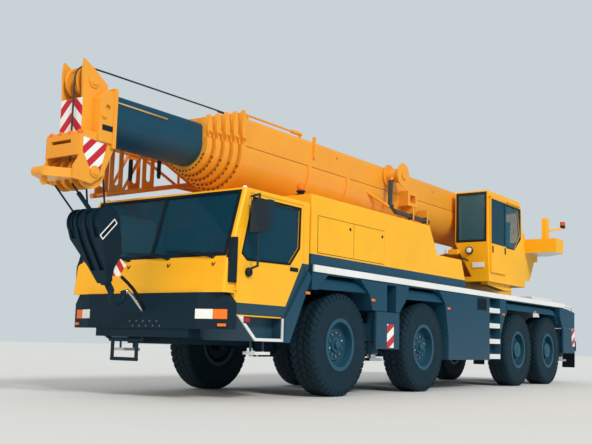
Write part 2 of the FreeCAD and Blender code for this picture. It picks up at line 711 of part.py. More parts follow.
# Engine cover: a thin stepped housing over the engine, open below
COVER_SIDE = [(690, ENGINE_COVER_TOP), (-2700, ENGINE_COVER_TOP), (-2990, ENGINE_STEP_TOP),
              (-3910, ENGINE_STEP_TOP), (-4060, PLINTH_TOP), (700, PLINTH_TOP)]


def engine_cover():
    inner = COVER_HALF - PANEL_T
    outer = rounded(prism(COVER_SIDE, "y", -COVER_HALF, COVER_HALF), PANEL_T - 5,
                    lambda middle: abs(middle.y) > COVER_HALF - 1 and middle.z > PLINTH_TOP + 1)
    room = grown(COVER_SIDE, "y", -inner, inner, -PANEL_T)
    below = block(-4060 + 2 * PANEL_T, 700 - PANEL_T, -inner, inner, PLINTH_TOP, PLINTH_TOP + PANEL_T + 1)
    return outer.cut(room).cut(below)


save("engine_cover", engine_cover())
save("engine", block(ENGINE_X[0], ENGINE_X[1], -ENGINE_HALF, ENGINE_HALF, DECK_TOP, DECK_TOP + ENGINE_H))


# Rear crossbar: a back plate with the tow jaw, and the lamp bar on its two arms
TOW_PIN_R = 25.0
TOW_X = FRAME_REAR - 110
TOW_Z = 1000.0
TOW_GAP = 90.0
TOW_EAR = 40.0


def rear_crossbar():
    plate = block(FRAME_REAR - 25, FRAME_REAR, -FRAME_HALF, FRAME_HALF, 780, 1120)
    arms = [block(FRAME_REAR - 25, -9850, y - 40, y + 40, 780, 900) for y in (-380, 380)]
    cross = block(-9850, TAIL_X + 30, -1200, 1200, 760, 900)
    lamps = [block(-9850, TAIL_X, y - 130, y + 130, 690, 910) for y in (-1070, 1070)]
    half = TOW_GAP / 2
    jaw = [block(TOW_X - 60, FRAME_REAR - 20, -80, 80, TOW_Z + low, TOW_Z + high)
           for low, high in ((-half - TOW_EAR, -half), (half, half + TOW_EAR))]
    bore = disc("z", (TOW_X, 0), TOW_Z - 200, TOW_Z + 200, TOW_PIN_R)
    return fuse(plate, cross, *arms, *lamps, *jaw).cut(bore)


save("rear_crossbar", rear_crossbar())


# Turntable: a round base, floor, two side plates that carry the boom's pivot, and the cab platform
TABLE_SIDE = [(-5100, TABLE_LOW), (-5100, 2150), (-5600, 2400), (-7100, 2700), (-7700, 3330), (-7950, 3400),
              (-8100, 3400), (WEIGHT_FRONT, WEIGHT_TOP + 87), (WEIGHT_FRONT, WEIGHT_LOW),
              (TABLE_REAR, WEIGHT_LOW), (TABLE_REAR, 2660), (-9200, 2660), (-8900, TAIL_LOW),
              (TABLE_END, TAIL_LOW), (TABLE_END, TABLE_LOW)]


def turntable():
    base = disc("z", (SLEW_X, 0), RING_TOP, TABLE_LOW, RING_R - 40)
    floor = block(TABLE_END, -5100, -PLATE_IN, PLATE_IN, TABLE_LOW, TABLE_LOW + TABLE_T)
    plates = both(prism(TABLE_SIDE, "y", PLATE_IN, PLATE_IN + PLATE_T))
    rear = block(TABLE_REAR, TABLE_REAR + 40, -PLATE_IN, PLATE_IN, 2660, WEIGHT_LOW)
    lugs = []
    for side in (-1, 1):
        y0, y1 = sorted((side * LUFF_LUG_IN, side * (LUFF_LUG_IN + LUFF_LUG_T)))
        lugs.append(prism([(FOOT_X - 250, TABLE_LOW + TABLE_T), (FOOT_X - 100, FOOT_Z + 120),
                           (FOOT_X + 100, FOOT_Z + 120), (FOOT_X + 250, TABLE_LOW + TABLE_T)], "y", y0, y1))
    edge = LUFF_LUG_IN + LUFF_LUG_T
    pin = disc("y", (FOOT_X, FOOT_Z), -edge, edge, PIVOT_PIN_R)
    platform = block(-6910, -5100, PLATE_IN + PLATE_T, OPCAB_OUT, OPCAB_FLOOR - 90, OPCAB_FLOOR)
    body = fuse(base, floor, *plates, rear, *lugs, pin, platform)
    return body.cut(disc("y", (PIVOT_X, PIVOT_Z), -600, 600, PIVOT_PIN_R + FIT))


save("turntable", turntable())


# Operator's cab with a door that slides back along its outer side
OPCAB_SIDE = [(-5070, OPCAB_ROOF), (-6610, OPCAB_ROOF), (-6720, 3460), (-6910, OPCAB_FLOOR),
              (-5100, OPCAB_FLOOR), (-5050, 2630)]
OPWINDOW_REAR = [(-5920, 3400), (-6560, 3420), (-6670, 2920), (-6380, 2620), (-5920, 2630)]
OPDOOR_SIDE = [(-5130, OPDOOR_TOP), (-5860, OPDOOR_TOP), (-5860, 2080), (-5160, 2080)]
OPDOOR_WINDOW = [(-5190, 3420), (-5800, 3420), (-5800, 2640), (-5190, 2640)]


def operator_cab():
    inner = (OPCAB_IN + OPCAB_WALL, OPCAB_OUT - OPCAB_WALL)
    corner = [(OPCAB_IN - 1, OPCAB_FLOOR - 1), (850, OPCAB_FLOOR - 1), (OPCAB_IN - 1, 2630)]
    outer = rounded(prism(OPCAB_SIDE, "y", OPCAB_IN, OPCAB_OUT), OPCAB_WALL - 8,
                    lambda middle: middle.z > OPCAB_ROOF - 1)
    shell = outer.cut(prism(corner, "x", -7000, -5000))
    room = grown(OPCAB_SIDE, "y", inner[0], inner[1], -OPCAB_WALL)
    inside = [(OPCAB_IN - 1 + OPCAB_WALL, OPCAB_FLOOR - 1 + OPCAB_WALL), (850 + OPCAB_WALL, OPCAB_FLOOR - 1),
              (OPCAB_IN, 2630 + OPCAB_WALL)]
    shell = shell.cut(room.cut(prism(inside, "x", -7000, -5000)))
    openings = [block(-5300, -5000, inner[0] + 20, inner[1] - 20, 2680, 3520),
                prism(OPWINDOW_REAR, "y", OPCAB_OUT - OPCAB_WALL - 1, OPCAB_OUT + 1),
                block(-5830, -5200, OPCAB_OUT - OPCAB_WALL - 1, OPCAB_OUT + 1, 2120, 3440),
                block(-6500, -5250, OPCAB_IN - 1, OPCAB_IN + OPCAB_WALL + 1, 2750, 3480),
                block(-6900, -6600, inner[0] + 40, inner[1] - 40, 2800, 3380)]
    rail = block(-6600, -5100, OPCAB_OUT, OPCAB_OUT + OPDOOR_T + 10, OPDOOR_TOP + SEAT, OPDOOR_TOP + 30)
    return fuse(shell.cut(openings), rail)


def operator_glass():
    mid = OPCAB_WALL / 2
    return [prism([(-5073, 3520), (-5081, 3520), (-5078, 2680), (-5070, 2680)], "y",
                  OPCAB_IN + OPCAB_WALL + 20, OPCAB_OUT - OPCAB_WALL - 20),
            prism(OPWINDOW_REAR, "y", OPCAB_OUT - mid - 4, OPCAB_OUT - mid + 4),
            block(-6500, -5250, OPCAB_IN + mid - 4, OPCAB_IN + mid + 4, 2750, 3480)]


def operator_door():
    low = OPCAB_OUT + 5
    high = low + OPDOOR_T
    panel = prism(OPDOOR_SIDE, "y", low, high).cut(prism(OPDOOR_WINDOW, "y", low, high))
    pane = prism(OPDOOR_WINDOW, "y", low + 11, low + 19)
    return panel, pane


def operator_seat():
    mid = (OPCAB_IN + OPCAB_OUT) / 2 + 60
    base = block(-6150, -5900, mid + 20, mid + 180, OPCAB_FLOOR + OPCAB_WALL, 2400)
    cushion = block(-6250, -5750, mid - 210, mid + 210, 2400, 2520)
    back = prism([(-6250, 2520), (-6130, 2520), (-6230, 3150), (-6330, 3150)], "y", mid - 200, mid + 200)
    return fuse(base, cushion, back)


save("operator_cab", operator_cab())
save("operator_glass", *operator_glass())
save("operator_door", *operator_door())
save("operator_seat", operator_seat())


# Counterweight slab with side chamfers, rear lug and the beacon post
def counterweight():
    half, low, top = WEIGHT_HALF, WEIGHT_LOW, WEIGHT_TOP
    plan = [(WEIGHT_FRONT, -half), (WEIGHT_FRONT, half), (-9100, half), (-9500, 800), (-9500, -800),
            (-9100, -half)]
    slab = prism(plan, "z", low, top)
    lug = prism([(-9400, low), (WEIGHT_REAR, low), (WEIGHT_REAR, low + 140), (-9500, low + 230)],
                "y", -250, 250)
    posts = both(block(-8900, -8700, 900, 1000, top, 3560))
    arm = bar((-8860, 990, 3300), (-9250, 1230, 3400), 22)
    beacon = disc("z", (-9200, 1200), 3390, 3520, 55)
    return fuse(slab, lug, *posts, arm, beacon)


save("counterweight", counterweight())


def winch():
    """Hoist drum between its two flanges on an axle that seats in the side plates."""
    half = PLATE_IN - 60
    drum = disc("y", (WINCH_X, WINCH_Z), -half, half, WINCH_R * 0.75)
    flanges = [disc("y", (WINCH_X, WINCH_Z), y - 12, y + 12, WINCH_R) for y in (-half, half)]
    shaft = disc("y", (WINCH_X, WINCH_Z), -PLATE_IN, PLATE_IN, 60)
    return fuse(drum, *flanges, shaft)


save("winch", winch())


# Boom: six sections of one shape, flat above and round below, each inside the one before
def section(low_x, high_x, inset_y, inset_z, grow=0.0):
    """A filled length of the boom's section, smaller by the insets and larger by grow all round."""
    half = BOOM_HALF - inset_y + grow
    top = BOOM_TOP - inset_z + grow
    belly = BOOM_BELLY + inset_z - grow
    cut = BOOM_CORNER
    a, b = V(low_x, half, BOOM_SEAM), V(low_x, half, top - cut)
    c, d = V(low_x, half - cut, top), V(low_x, -half + cut, top)
    e, f = V(low_x, -half, top - cut), V(low_x, -half, BOOM_SEAM)
    bend = cut * (1 - math.sqrt(0.5))
    edges = [Part.LineSegment(a, b).toShape(), Part.Arc(b, V(low_x, half - bend, top - bend), c).toShape(),
             Part.LineSegment(c, d).toShape(), Part.Arc(d, V(low_x, -half + bend, top - bend), e).toShape(),
             Part.LineSegment(e, f).toShape(), Part.Arc(f, V(low_x, 0, belly), a).toShape()]
    return Part.Face(Part.Wire(edges)).extrude(V(high_x - low_x, 0, 0))


def below_seam(shape):
    """What a boom piece has below the seam between its flat and its round plates."""
    box = shape.BoundBox
    box.enlarge(1)
    return shape.common(block(box.XMin, box.XMax, box.YMin, box.YMax, box.ZMin, BOOM_SEAM))


def leaf(mid, half, top):
    """A pointed oval cheek on a collar's left side, from the seam to above the boom's top."""
    inner, outer = half - SECTION_STEP_Y / 2, half + COLLAR_OUT + 6
    foot, tip = V(mid, inner, BOOM_SEAM - 20), V(mid, inner, top + LEAF_H)
    widest = (foot.z + tip.z) / 2
    edges = [Part.Arc(foot, V(mid + LEAF_HALF, inner, widest), tip).toShape(),
             Part.Arc(tip, V(mid - LEAF_HALF, inner, widest), foot).toShape()]
    return Part.Face(Part.Wire(edges)).extrude(V(0, outer - inner, 0))


def collar(number):
    """The guide collar at a section's front end: a band round the belly, a plate above and two leaves."""
    front = BOOM_FRONT + number * COLLAR_PITCH
    mid = front - COLLAR_W / 2
    iy, iz = number * SECTION_STEP_Y, number * SECTION_STEP_Z
    band = below_seam(section(front - COLLAR_W, front, iy, iz, COLLAR_OUT))
    plate = section(mid - COLLAR_PLATE / 2, mid + COLLAR_PLATE / 2, iy, iz, COLLAR_OUT)
    return [band, plate] + both(leaf(mid, BOOM_HALF - iy, BOOM_TOP - iz))


def collar_hole(number):
    """The mouth of a collar, which the next section slides through."""
    front = BOOM_FRONT + number * COLLAR_PITCH
    inside = number + 1
    return section(front - COLLAR_W - 1, front + 1, inside * SECTION_STEP_Y, inside * SECTION_STEP_Z, SEAT)


def rear_guide(number):
    """The slide pads at a section's rear end, a running fit in the section round it."""
    rear = SECTION_REAR + number * GUIDE_T * 2
    iy, iz = (number - 1) * SECTION_STEP_Y, (number - 1) * SECTION_STEP_Z
    return section(rear, rear + GUIDE_T, iy, iz, -BOOM_WALL - SEAT)


def hose_reel():
    """The reel on the boom's left side, the thick pipe from it and the box and clamps that carry them."""
    foot = BOOM_HALF - BOOM_WALL
    rim = foot + 20
    outer = rim + 280
    reel = spun([(0, foot), (70, foot), (70, rim), (REEL_R, rim), (REEL_R, rim + 16), (120, rim + 16),
                 (120, outer - 16), (REEL_R, outer - 16), (REEL_R, outer), (75, outer), (75, outer + 25),
                 (0, outer + 25)], REEL_X, 0, REEL_Z)
    run = [(REEL_X + 90, 3450), (REEL_X + 185, 3370), (REEL_X + 200, 2990), (REEL_X, 2890), (-3820, 2870)]
    pipe = piping([(x, PIPE_Y, z) for x, z in run], PIPE_R)
    box = block(-3350, -3000, foot, PIPE_Y + PIPE_R, 3050, 3300)
    window = block(-3270, -3080, foot + 60, PIPE_Y + PIPE_R + 1, 3110, 3240)
    clamps = [block(x, x + 40, foot, PIPE_Y + PIPE_R + 12, 2820, 3060) for x in (-3200, -3720)]
    strut = bar((REEL_X + 730, foot, 3140), (REEL_X + 215, PIPE_Y, 2940), 24)
    return [reel, pipe, box.cut(window), *clamps, strut]


def boom_rail():
    """The grab rail on the boom's top left edge and the upright fin behind it."""
    y, z = 300, BOOM_TOP + 95
    posts = [block(x - 15, x + 15, y - 15, y + 15, BOOM_TOP - BOOM_WALL, z) for x in (985, -265)]
    fin = block(-420, -385, BOOM_HALF - BOOM_WALL, BOOM_HALF + 35, BOOM_TOP - 260, BOOM_TOP + 60)
    return [bar((1010, y, z), (-290, y, z), 15), bar((-50, y, z), (-290, y, z), 28), fin, *posts]


def boom_base():
    body = section(BOOM_REAR, BOOM_FRONT, 0, 0)
    room = section(BOOM_REAR + 30, BOOM_FRONT - COLLAR_W, 0, 0, -BOOM_WALL)
    boss = disc("y", (PIVOT_X, PIVOT_Z), -PLATE_IN + 12, PLATE_IN - 12, PIVOT_BOSS_R)
    pin = disc("y", (PIVOT_X, PIVOT_Z), -PLATE_IN - PLATE_T - 20, PLATE_IN + PLATE_T + 20, PIVOT_PIN_R)
    lugs = []
    stubs = []
    for side in (-1, 1):
        y0, y1 = sorted((side * LUFF_LUG_IN, side * (LUFF_LUG_IN + LUFF_LUG_T)))
        lug = [(ROD_PIN_X - 260, BOOM_BELLY + 100), (ROD_PIN_X - 110, ROD_PIN_Z - 90),
               (ROD_PIN_X + 80, ROD_PIN_Z - 90), (ROD_PIN_X + 260, BOOM_BELLY + 100)]
        lugs.append(prism(lug, "y", y0, y1))
        s0, s1 = sorted((side * (LUFF_EYE_HALF + 6), side * (LUFF_LUG_IN + LUFF_LUG_T + 10)))
        stubs.append(disc("y", (ROD_PIN_X, ROD_PIN_Z), s0, s1, 60))
    saddles = [below_seam(section(x - SADDLE_W / 2, x + SADDLE_W / 2, 0, 0, SADDLE_OUT)) for x in SADDLES]
    whole = fuse(body, *lugs, *stubs, *collar(0), *saddles, *hose_reel(), *boom_rail())
    return fuse(whole.cut(room).cut(collar_hole(0)), boss, pin)


save("boom_base", boom_base())


def tele_section(number):
    iy, iz = number * SECTION_STEP_Y, number * SECTION_STEP_Z
    rear = SECTION_REAR + number * GUIDE_T * 2
    if number == SECTIONS:
        tube = fuse(section(rear, HEAD_REAR, iy, iz), rear_guide(number))
        return tube.cut(section(rear - 1, HEAD_REAR + 1, iy, iz, -BOOM_WALL))
    front = BOOM_FRONT + number * COLLAR_PITCH
    tube = fuse(section(rear, front, iy, iz), rear_guide(number), *collar(number))
    return tube.cut(section(rear - 1, front - COLLAR_W, iy, iz, -BOOM_WALL)).cut(collar_hole(number))


for number in range(1, SECTIONS + 1):
    save(f"tele_{number}", tele_section(number))


# Luffing cylinder
def luff_place(distance):
    """The point on the cylinder's axis at a distance from its foot."""
    run = V(ROD_PIN_X - FOOT_X, 0, ROD_PIN_Z - FOOT_Z).normalize()
    at = V(FOOT_X, 0, FOOT_Z) + run * distance
    return (at.x, at.y, at.z)


def luff_barrel():
    tube = bar(luff_place(100), luff_place(BARREL_L), BARREL_R)
    room = bar(luff_place(200), luff_place(BARREL_L - 90), BARREL_R - BARREL_WALL)
    gland = bar(luff_place(BARREL_L - 91), luff_place(BARREL_L + 1), ROD_R + FIT)
    eye = disc("y", (FOOT_X, FOOT_Z), -LUFF_EYE_HALF, LUFF_EYE_HALF, LUFF_EYE_R)
    bore = disc("y", (FOOT_X, FOOT_Z), -LUFF_EYE_HALF - 1, LUFF_EYE_HALF + 1, PIVOT_PIN_R + FIT)
    return fuse(tube, eye).cut(bore).cut(room).cut(gland)


def luff_rod():
    length = math.hypot(ROD_PIN_X - FOOT_X, ROD_PIN_Z - FOOT_Z)
    piston = bar(luff_place(300), luff_place(400), BARREL_R - BARREL_WALL - FIT)
    rod = bar(luff_place(399), luff_place(length - 60), ROD_R)
    eye = disc("y", (ROD_PIN_X, ROD_PIN_Z), -LUFF_EYE_HALF, LUFF_EYE_HALF, LUFF_EYE_R)
    bore = disc("y", (ROD_PIN_X, ROD_PIN_Z), -LUFF_EYE_HALF - 1, LUFF_EYE_HALF + 1, 65)
    return fuse(piston, rod, eye).cut(bore)


save("luff_barrel", luff_barrel())
save("luff_rod", luff_rod())


# Boom head: narrow cheeks round the head sheaves, wide plates round the nose sheaves, side boxes and a beak
UPPER_SIDE = [(HEAD_REAR + 50, 2900), (HEAD_REAR + 50, 3550), (3620, 3700), (3750, 3770), (3765, 3630),
              (3745, 3330), (3745, 2900)]
LOWER_SIDE = [(HEAD_REAR, 2790), (HEAD_REAR, 2940), (3760, 2940), (3840, 2885), (3835, 2620), (3900, 2520),
              (3900, 2385), (3650, 2360), (3480, 2480)]
BOX_SIDE = [(HEAD_REAR, 2850), (HEAD_REAR, 3450), (3500, 3450), (3600, 3340), (3600, 2850)]
BEAK_R = 50.0
BEAK_Z = 2440.0
# columns: x, z of a sheave shaft, half the width of the plates that carry it, places of its sheaves
SHEAVES = [(3600, 3540, CHEEK_HALF, (-70, 70)), (3610, 2500, LOWER_HALF, (-210, -70, 70, 210))]
# columns: y of a nose sheave and its rope fall, the sheave's side that the fall leaves, radius of its socket
FALLS = [(-210, 1, 0), (-70, -1, 0), (70, 1, 26), (210, -1, 0)]


def sheave(x, y, z):
    """A rope sheave: a hub, a thinner web and a grooved rim."""
    half, rim = SHEAVE_HALF, SHEAVE_R
    profile = [(0, half + 4), (62, half + 4), (62, 6), (rim - 32, 6), (rim - 26, half), (rim, half)]
    back = [(r, -a) for r, a in reversed(profile)]
    return spun(profile + [(rim - SHEAVE_GROOVE, 0)] + back, x, y, z)


def boom_head():
    cheeks = both(prism(UPPER_SIDE, "y", CHEEK_HALF - HEAD_PLATE, CHEEK_HALF))
    lowers = both(prism(LOWER_SIDE, "y", LOWER_HALF - HEAD_PLATE, LOWER_HALF))
    eye = disc("y", (3480, 3250), HEAD_HALF - 30, HEAD_HALF, 35)
    boxes = both(prism(BOX_SIDE, "y", CHEEK_HALF, HEAD_HALF).cut(eye))
    flange = block(HEAD_REAR, HEAD_REAR + 55, -HEAD_HALF - 10, HEAD_HALF + 10, 2800, 3490)
    floor = block(HEAD_REAR, 3835, -LOWER_HALF, LOWER_HALF, 2880, 2910)
    front = block(3715, 3745, -CHEEK_HALF, CHEEK_HALF, 2930, 3330)
    apron = block(3840, 3855, -LOWER_HALF + 25, LOWER_HALF - 25, 2650, 2885)
    apron = fuse(apron, block(3825, 3841, -LOWER_HALF, LOWER_HALF, 2650, 2885)).cut(
        block(3800, 3900, -170, 150, 2790, 2830))
    lamp_bar = bar((3800, -LOWER_HALF + 10, 2912), (3800, LOWER_HALF - 10, 2912), 16)
    beak = prism([(3840, -LOWER_HALF), (NOSE_X - BEAK_R, -80), (NOSE_X - BEAK_R, 80), (3840, LOWER_HALF)],
                 "z", BEAK_Z - BEAK_R, BEAK_Z + BEAK_R)
    tip = disc("y", (NOSE_X - BEAK_R, BEAK_Z), -80, 80, BEAK_R)
    ear = [disc("y", (4060, 2335), -15, 15, 32), block(4028, 4092, -15, 15, 2335, BEAK_Z)]
    shafts = [disc("y", (x, z), -half, half, SHEAVE_SHAFT_R) for x, z, half, _ in SHEAVES]
    wheels = [sheave(x, y, z) for x, z, _, places in SHEAVES for y in places]
    return fuse(*cheeks, *lowers, *boxes, flange, floor, front, apron, lamp_bar, beak, tip, *ear, *shafts,
                *wheels)


save("boom_head", boom_head())


# Hook block with its sheave cheeks, hook and the rope falls that run to the nose sheaves
def fall_end(side):
    """The X and Z where a straight fall from the hook block touches the front or back of a nose sheave."""
    x, z = SHEAVES[-1][:2]
    reach = SHEAVE_R - SHEAVE_GROOVE + (ROPE_R + SEAT) * math.hypot(SHEAVE_GROOVE, SHEAVE_HALF) / SHEAVE_HALF
    run, rise = x - HOOK_BECKET[0], z - HOOK_BECKET[1]
    away = math.hypot(run, rise)
    heading = math.atan2(rise, run) - side * math.asin(reach / away)
    length = math.sqrt(away ** 2 - reach ** 2)
    return HOOK_BECKET[0] + length * math.cos(heading), HOOK_BECKET[1] + length * math.sin(heading)


BLOCK_EYE = (3335.0, 1985.0)
BLOCK_R = 165.0
BLOCK_HALF = 262.0
BLOCK_INSET = 28.0
BLOCK_LOW = [(3498, 1960), (3435, 1790), (3250, 1490), (3160, 1310), (3085, 1310), (3110, 1480),
             (3062, 1668), (3127, 1760), (3172, 1960)]
# columns: y and z of the cheeks seen from the front, which draw in to the shank
BLOCK_FRONT = [(-BLOCK_HALF, 2200), (BLOCK_HALF, 2200), (BLOCK_HALF, 1800), (70, 1300), (-70, 1300),
               (-BLOCK_HALF, 1800)]
# columns: y of a groove's two sides, how far down it runs
BLOCK_GROOVES = [(150, 232, 1800), (30, 110, 1450)]
HOOK_R = 100.0
HOOK_BAR = 34.0
HOOK_X = 2915.0
HOOK_Z = 1200.0
HOOK_TURN = 235.0


def block_slab(low, high, out=0.0):
    """One thickness of the hook block: round over the sheaves and drawn in below them."""
    return fuse(disc("y", BLOCK_EYE, low, high, BLOCK_R + out), grown(BLOCK_LOW, "y", low, high, out))


def block_groove(low, high, foot):
    """A groove between two cheeks, down to its foot."""
    rind = block_slab(low, high, 1).cut(block_slab(low, high, -BLOCK_INSET))
    return rind.common(block(3000, 3600, low, high, foot, 2200))


def hook_block():
    cheeks = block_slab(-BLOCK_HALF, BLOCK_HALF).common(prism(BLOCK_FRONT, "x", 3000, 3600))
    cheeks = cheeks.cut([groove for row in BLOCK_GROOVES for groove in both(block_groove(*row))])
    wheels = [disc("y", BLOCK_EYE, y - SHEAVE_HALF, y + SHEAVE_HALF, BLOCK_R - BLOCK_INSET / 2)
              for y, _, _ in FALLS]
    shank = bar((3150, 0, 1420), (HOOK_X + HOOK_R, 0, HOOK_Z + 35), HOOK_BAR + 8)
    collar_ring = bar((3115, 0, 1370), (3085, 0, 1327), 72)
    end = Part.Face(Part.Wire(Part.makeCircle(HOOK_BAR, V(HOOK_R, 0, 0), V(0, 0, 1))))
    hook = end.revolve(V(0, 0, 0), V(0, 1, 0), HOOK_TURN)
    hook.rotate(V(0, 0, 0), V(0, 1, 0), -30)
    hook.translate(V(HOOK_X, 0, HOOK_Z))
    falls = []
    for y, way, socket in FALLS:
        end_x, end_z = fall_end(way)
        foot = V(HOOK_BECKET[0], y, HOOK_BECKET[1])
        run = V(end_x, y, end_z) - foot
        falls.append(bar(foot, foot + run, ROPE_R))
        if socket:
            falls.append(bar(foot + run * 0.3, foot + run * 0.75, socket))
    return fuse(cheeks, *wheels, shank, collar_ring, hook, *falls)


save("hook_block", hook_block())


# Lattice jib stowed along the right side of the boom
JIB_TOP = 3140.0
JIB_REAR = -4500.0
# columns: x and z of the lower chord's bends, from the front
JIB_LOW = [(2600, 2470), (1070, 2840), (JIB_REAR, 2940)]
# columns: rear and front x of the slotted uprights
JIB_UPRIGHTS = [(2330, 2550), (1770, 1980)]
JIB_PITCH = 760.0


def jib_low(x):
    """The height of the jib's lower chord at a place along it."""
    for (x0, z0), (x1, z1) in zip(JIB_LOW, JIB_LOW[1:]):
        if x >= x1:
            return z0 + (z1 - z0) * (x - x0) / (x1 - x0)
    return JIB_LOW[-1][1]


def jib_upright(x0, x1, y):
    """A plate between the chords with a long round-ended slot."""
    plate = prism([(x0, jib_low(x0)), (x0, JIB_TOP), (x1, JIB_TOP), (x1, jib_low(x1))], "y", y - 8, y + 8)
    mid, wide = (x0 + x1) / 2, (x1 - x0) / 5
    low, high = jib_low(x0) + 120, JIB_TOP - 110
    slot = [block(mid - wide, mid + wide, y - 9, y + 9, low, high)]
    slot += [disc("y", (mid, z), y - 9, y + 9, wide) for z in (low, high)]
    return plate.cut(slot)


def jib():
    ys = (JIB_Y - JIB_HALF, JIB_Y + JIB_HALF)
    front = JIB_UPRIGHTS[0][1]
    pieces = []
    for y in ys:
        pieces.append(bar((JIB_REAR, y, JIB_TOP), (front, y, JIB_TOP), CHORD_R))
        for (x0, z0), (x1, z1) in zip(JIB_LOW, JIB_LOW[1:]):
            pieces.append(bar((x0, y, z0), (x1, y, z1), CHORD_R))
        pieces.append(Part.makeSphere(CHORD_R + 2, V(JIB_LOW[1][0], y, JIB_LOW[1][1])))
        pieces += [jib_upright(x0, x1, y) for x0, x1 in JIB_UPRIGHTS]
        first, second = JIB_UPRIGHTS[0][0], JIB_UPRIGHTS[1][1]
        pieces.append(bar((first, y, jib_low(first)), (second, y, JIB_TOP), 20))
    x = JIB_UPRIGHTS[1][0]
    while x > JIB_REAR:
        behind = max(x - JIB_PITCH, JIB_REAR)
        for y in ys:
            pieces.append(bar((x, y, JIB_TOP), (behind, y, jib_low(behind)), 20))
            pieces.append(bar((behind, y, jib_low(behind)), (behind, y, JIB_TOP), 20))
        for z in (JIB_TOP, jib_low(behind)):
            pieces.append(block(behind, behind + 40, ys[0], ys[1], z - 12, z + 12))
        x = behind
    for x in (front - 40, JIB_UPRIGHTS[1][0]):
        for z in (JIB_TOP, jib_low(x + 20)):
            pieces.append(block(x, x + 40, ys[0], ys[1], z - 12, z + 12))
    return fuse(*pieces)


def jib_hangers():
    """Brackets that hold the jib to the boom's right side."""
    z = BOOM_BELLY + BOOM_BULGE
    return [block(x - 30, x + 30, JIB_Y + JIB_HALF + CHORD_R - 6, -BOOM_BULGE - SEAT, z - 30, z + 30)
            for x in (-3800, -200)]


save("jib", fuse(jib(), *jib_hangers()))
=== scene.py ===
# %% [markdown]
# A four-axle mobile crane, dressed for its picture.
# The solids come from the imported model. This script adds the camera, the light, the finishes and the small
# things that paint shops and fitters add: tread, nuts, lamps, wipers, ropes and hazard plates.

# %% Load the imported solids
import math
import bpy
import bmesh
from mathutils import Matrix, Vector


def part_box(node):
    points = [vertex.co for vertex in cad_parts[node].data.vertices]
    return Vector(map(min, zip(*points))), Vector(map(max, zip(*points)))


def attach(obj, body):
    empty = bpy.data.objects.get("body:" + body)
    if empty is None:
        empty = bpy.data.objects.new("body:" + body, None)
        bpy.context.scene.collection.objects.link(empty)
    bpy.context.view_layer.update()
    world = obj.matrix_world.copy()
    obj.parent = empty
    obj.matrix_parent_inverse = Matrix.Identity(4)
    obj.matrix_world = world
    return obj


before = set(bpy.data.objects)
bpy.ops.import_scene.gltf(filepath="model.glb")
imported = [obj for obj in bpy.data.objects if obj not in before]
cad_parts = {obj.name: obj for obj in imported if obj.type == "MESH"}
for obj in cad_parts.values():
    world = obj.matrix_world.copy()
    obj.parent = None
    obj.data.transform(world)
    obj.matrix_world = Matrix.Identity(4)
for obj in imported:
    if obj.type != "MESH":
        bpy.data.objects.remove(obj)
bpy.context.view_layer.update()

# %% [markdown]
# Every place below is measured forward from the first axle, to the left of the middle and up from the ground.
# at() moves such a place to the model's own origin, so that nothing has to be retyped if the model moves.

# %% Places measured from the first axle
low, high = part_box("wheel_1_left")
AXLE_1 = (low.x + high.x) / 2
SIDES = ((1, "left"), (-1, "right"))


def at(x, y, z):
    return Vector((x + AXLE_1, y, z))


# %% [markdown]
# The camera stands low in front of the crane's left corner, as the photographer did.
# Its directions were solved from the wheels, the deck and the boom, and a matrix holds them without rounding.

# %% Camera
FOCAL_PIXELS = 888.43
PHOTO_WIDTH = 592
eye = bpy.data.cameras.new("road_camera")
eye.sensor_width = 36.0
eye.lens = FOCAL_PIXELS / PHOTO_WIDTH * eye.sensor_width
camera = bpy.data.objects.new("road_camera", eye)
bpy.context.scene.collection.objects.link(camera)
ahead = Vector((-0.8087, -0.57185, 0.13765)).normalized()
right = ahead.cross(Vector((0.12674, 0.05912, 0.99015))).normalized()
up = right.cross(ahead)
turn = Matrix((right, up, -ahead)).transposed().to_4x4()
camera.matrix_world = Matrix.Translation(at(10.1639, 7.6424, 0.6604)) @ turn
bpy.context.scene.camera = camera

# %% [markdown]
# Colours are written as they look on a screen. Blender works with linear light, so one function turns them
# over. Another adds a shader node, sets it and links it, and short ones after it add the commonest kinds.

# %% Colour and node helpers
def linear(code):
    """A hex colour as linear red, green, blue and alpha."""
    parts = [int(code[i:i + 2], 16) / 255 for i in (1, 3, 5)]
    return tuple(v / 12.92 if v <= 0.04045 else ((v + 0.055) / 1.055) ** 2.4 for v in parts) + (1.0,)


def add_node(tree, kind, feeds=None, **settings):
    """Add a node, set its properties, and give each input a value or another node's output."""
    node = tree.nodes.new(kind)
    for name, value in settings.items():
        setattr(node, name, value)
    for name, value in (feeds or {}).items():
        if isinstance(value, bpy.types.NodeSocket):
            tree.links.new(value, node.inputs[name])
        else:
            node.inputs[name].default_value = value
    return node


def sums(tree, operation, *values):
    """One step of arithmetic on numbers."""
    return add_node(tree, "ShaderNodeMath", dict(enumerate(values)), operation=operation).outputs[0]


def scaled(tree, vector, share):
    """A colour or a direction times a number."""
    return add_node(tree, "ShaderNodeVectorMath", {0: vector, "Scale": share}, operation="SCALE").outputs[0]


def mixed(tree, share, first, second):
    """The first colour where share is nothing, and the second where it is one."""
    return add_node(tree, "ShaderNodeMix", {0: share, 6: first, 7: second}, data_type="RGBA").outputs[2]


def noise(tree, place, scale, detail, roughness=0.5):
    """Cloudy unevenness with features one over scale metres wide."""
    return add_node(tree, "ShaderNodeTexNoise", {
        "Vector": place, "Scale": scale, "Detail": detail, "Roughness": roughness}).outputs[0]


def spread(tree, value, start, end, low, high):
    """Carry values from start to end over to values from low to high."""
    return add_node(tree, "ShaderNodeMapRange", {
        "Value": value, "From Min": start, "From Max": end, "To Min": low, "To Max": high}).outputs[0]


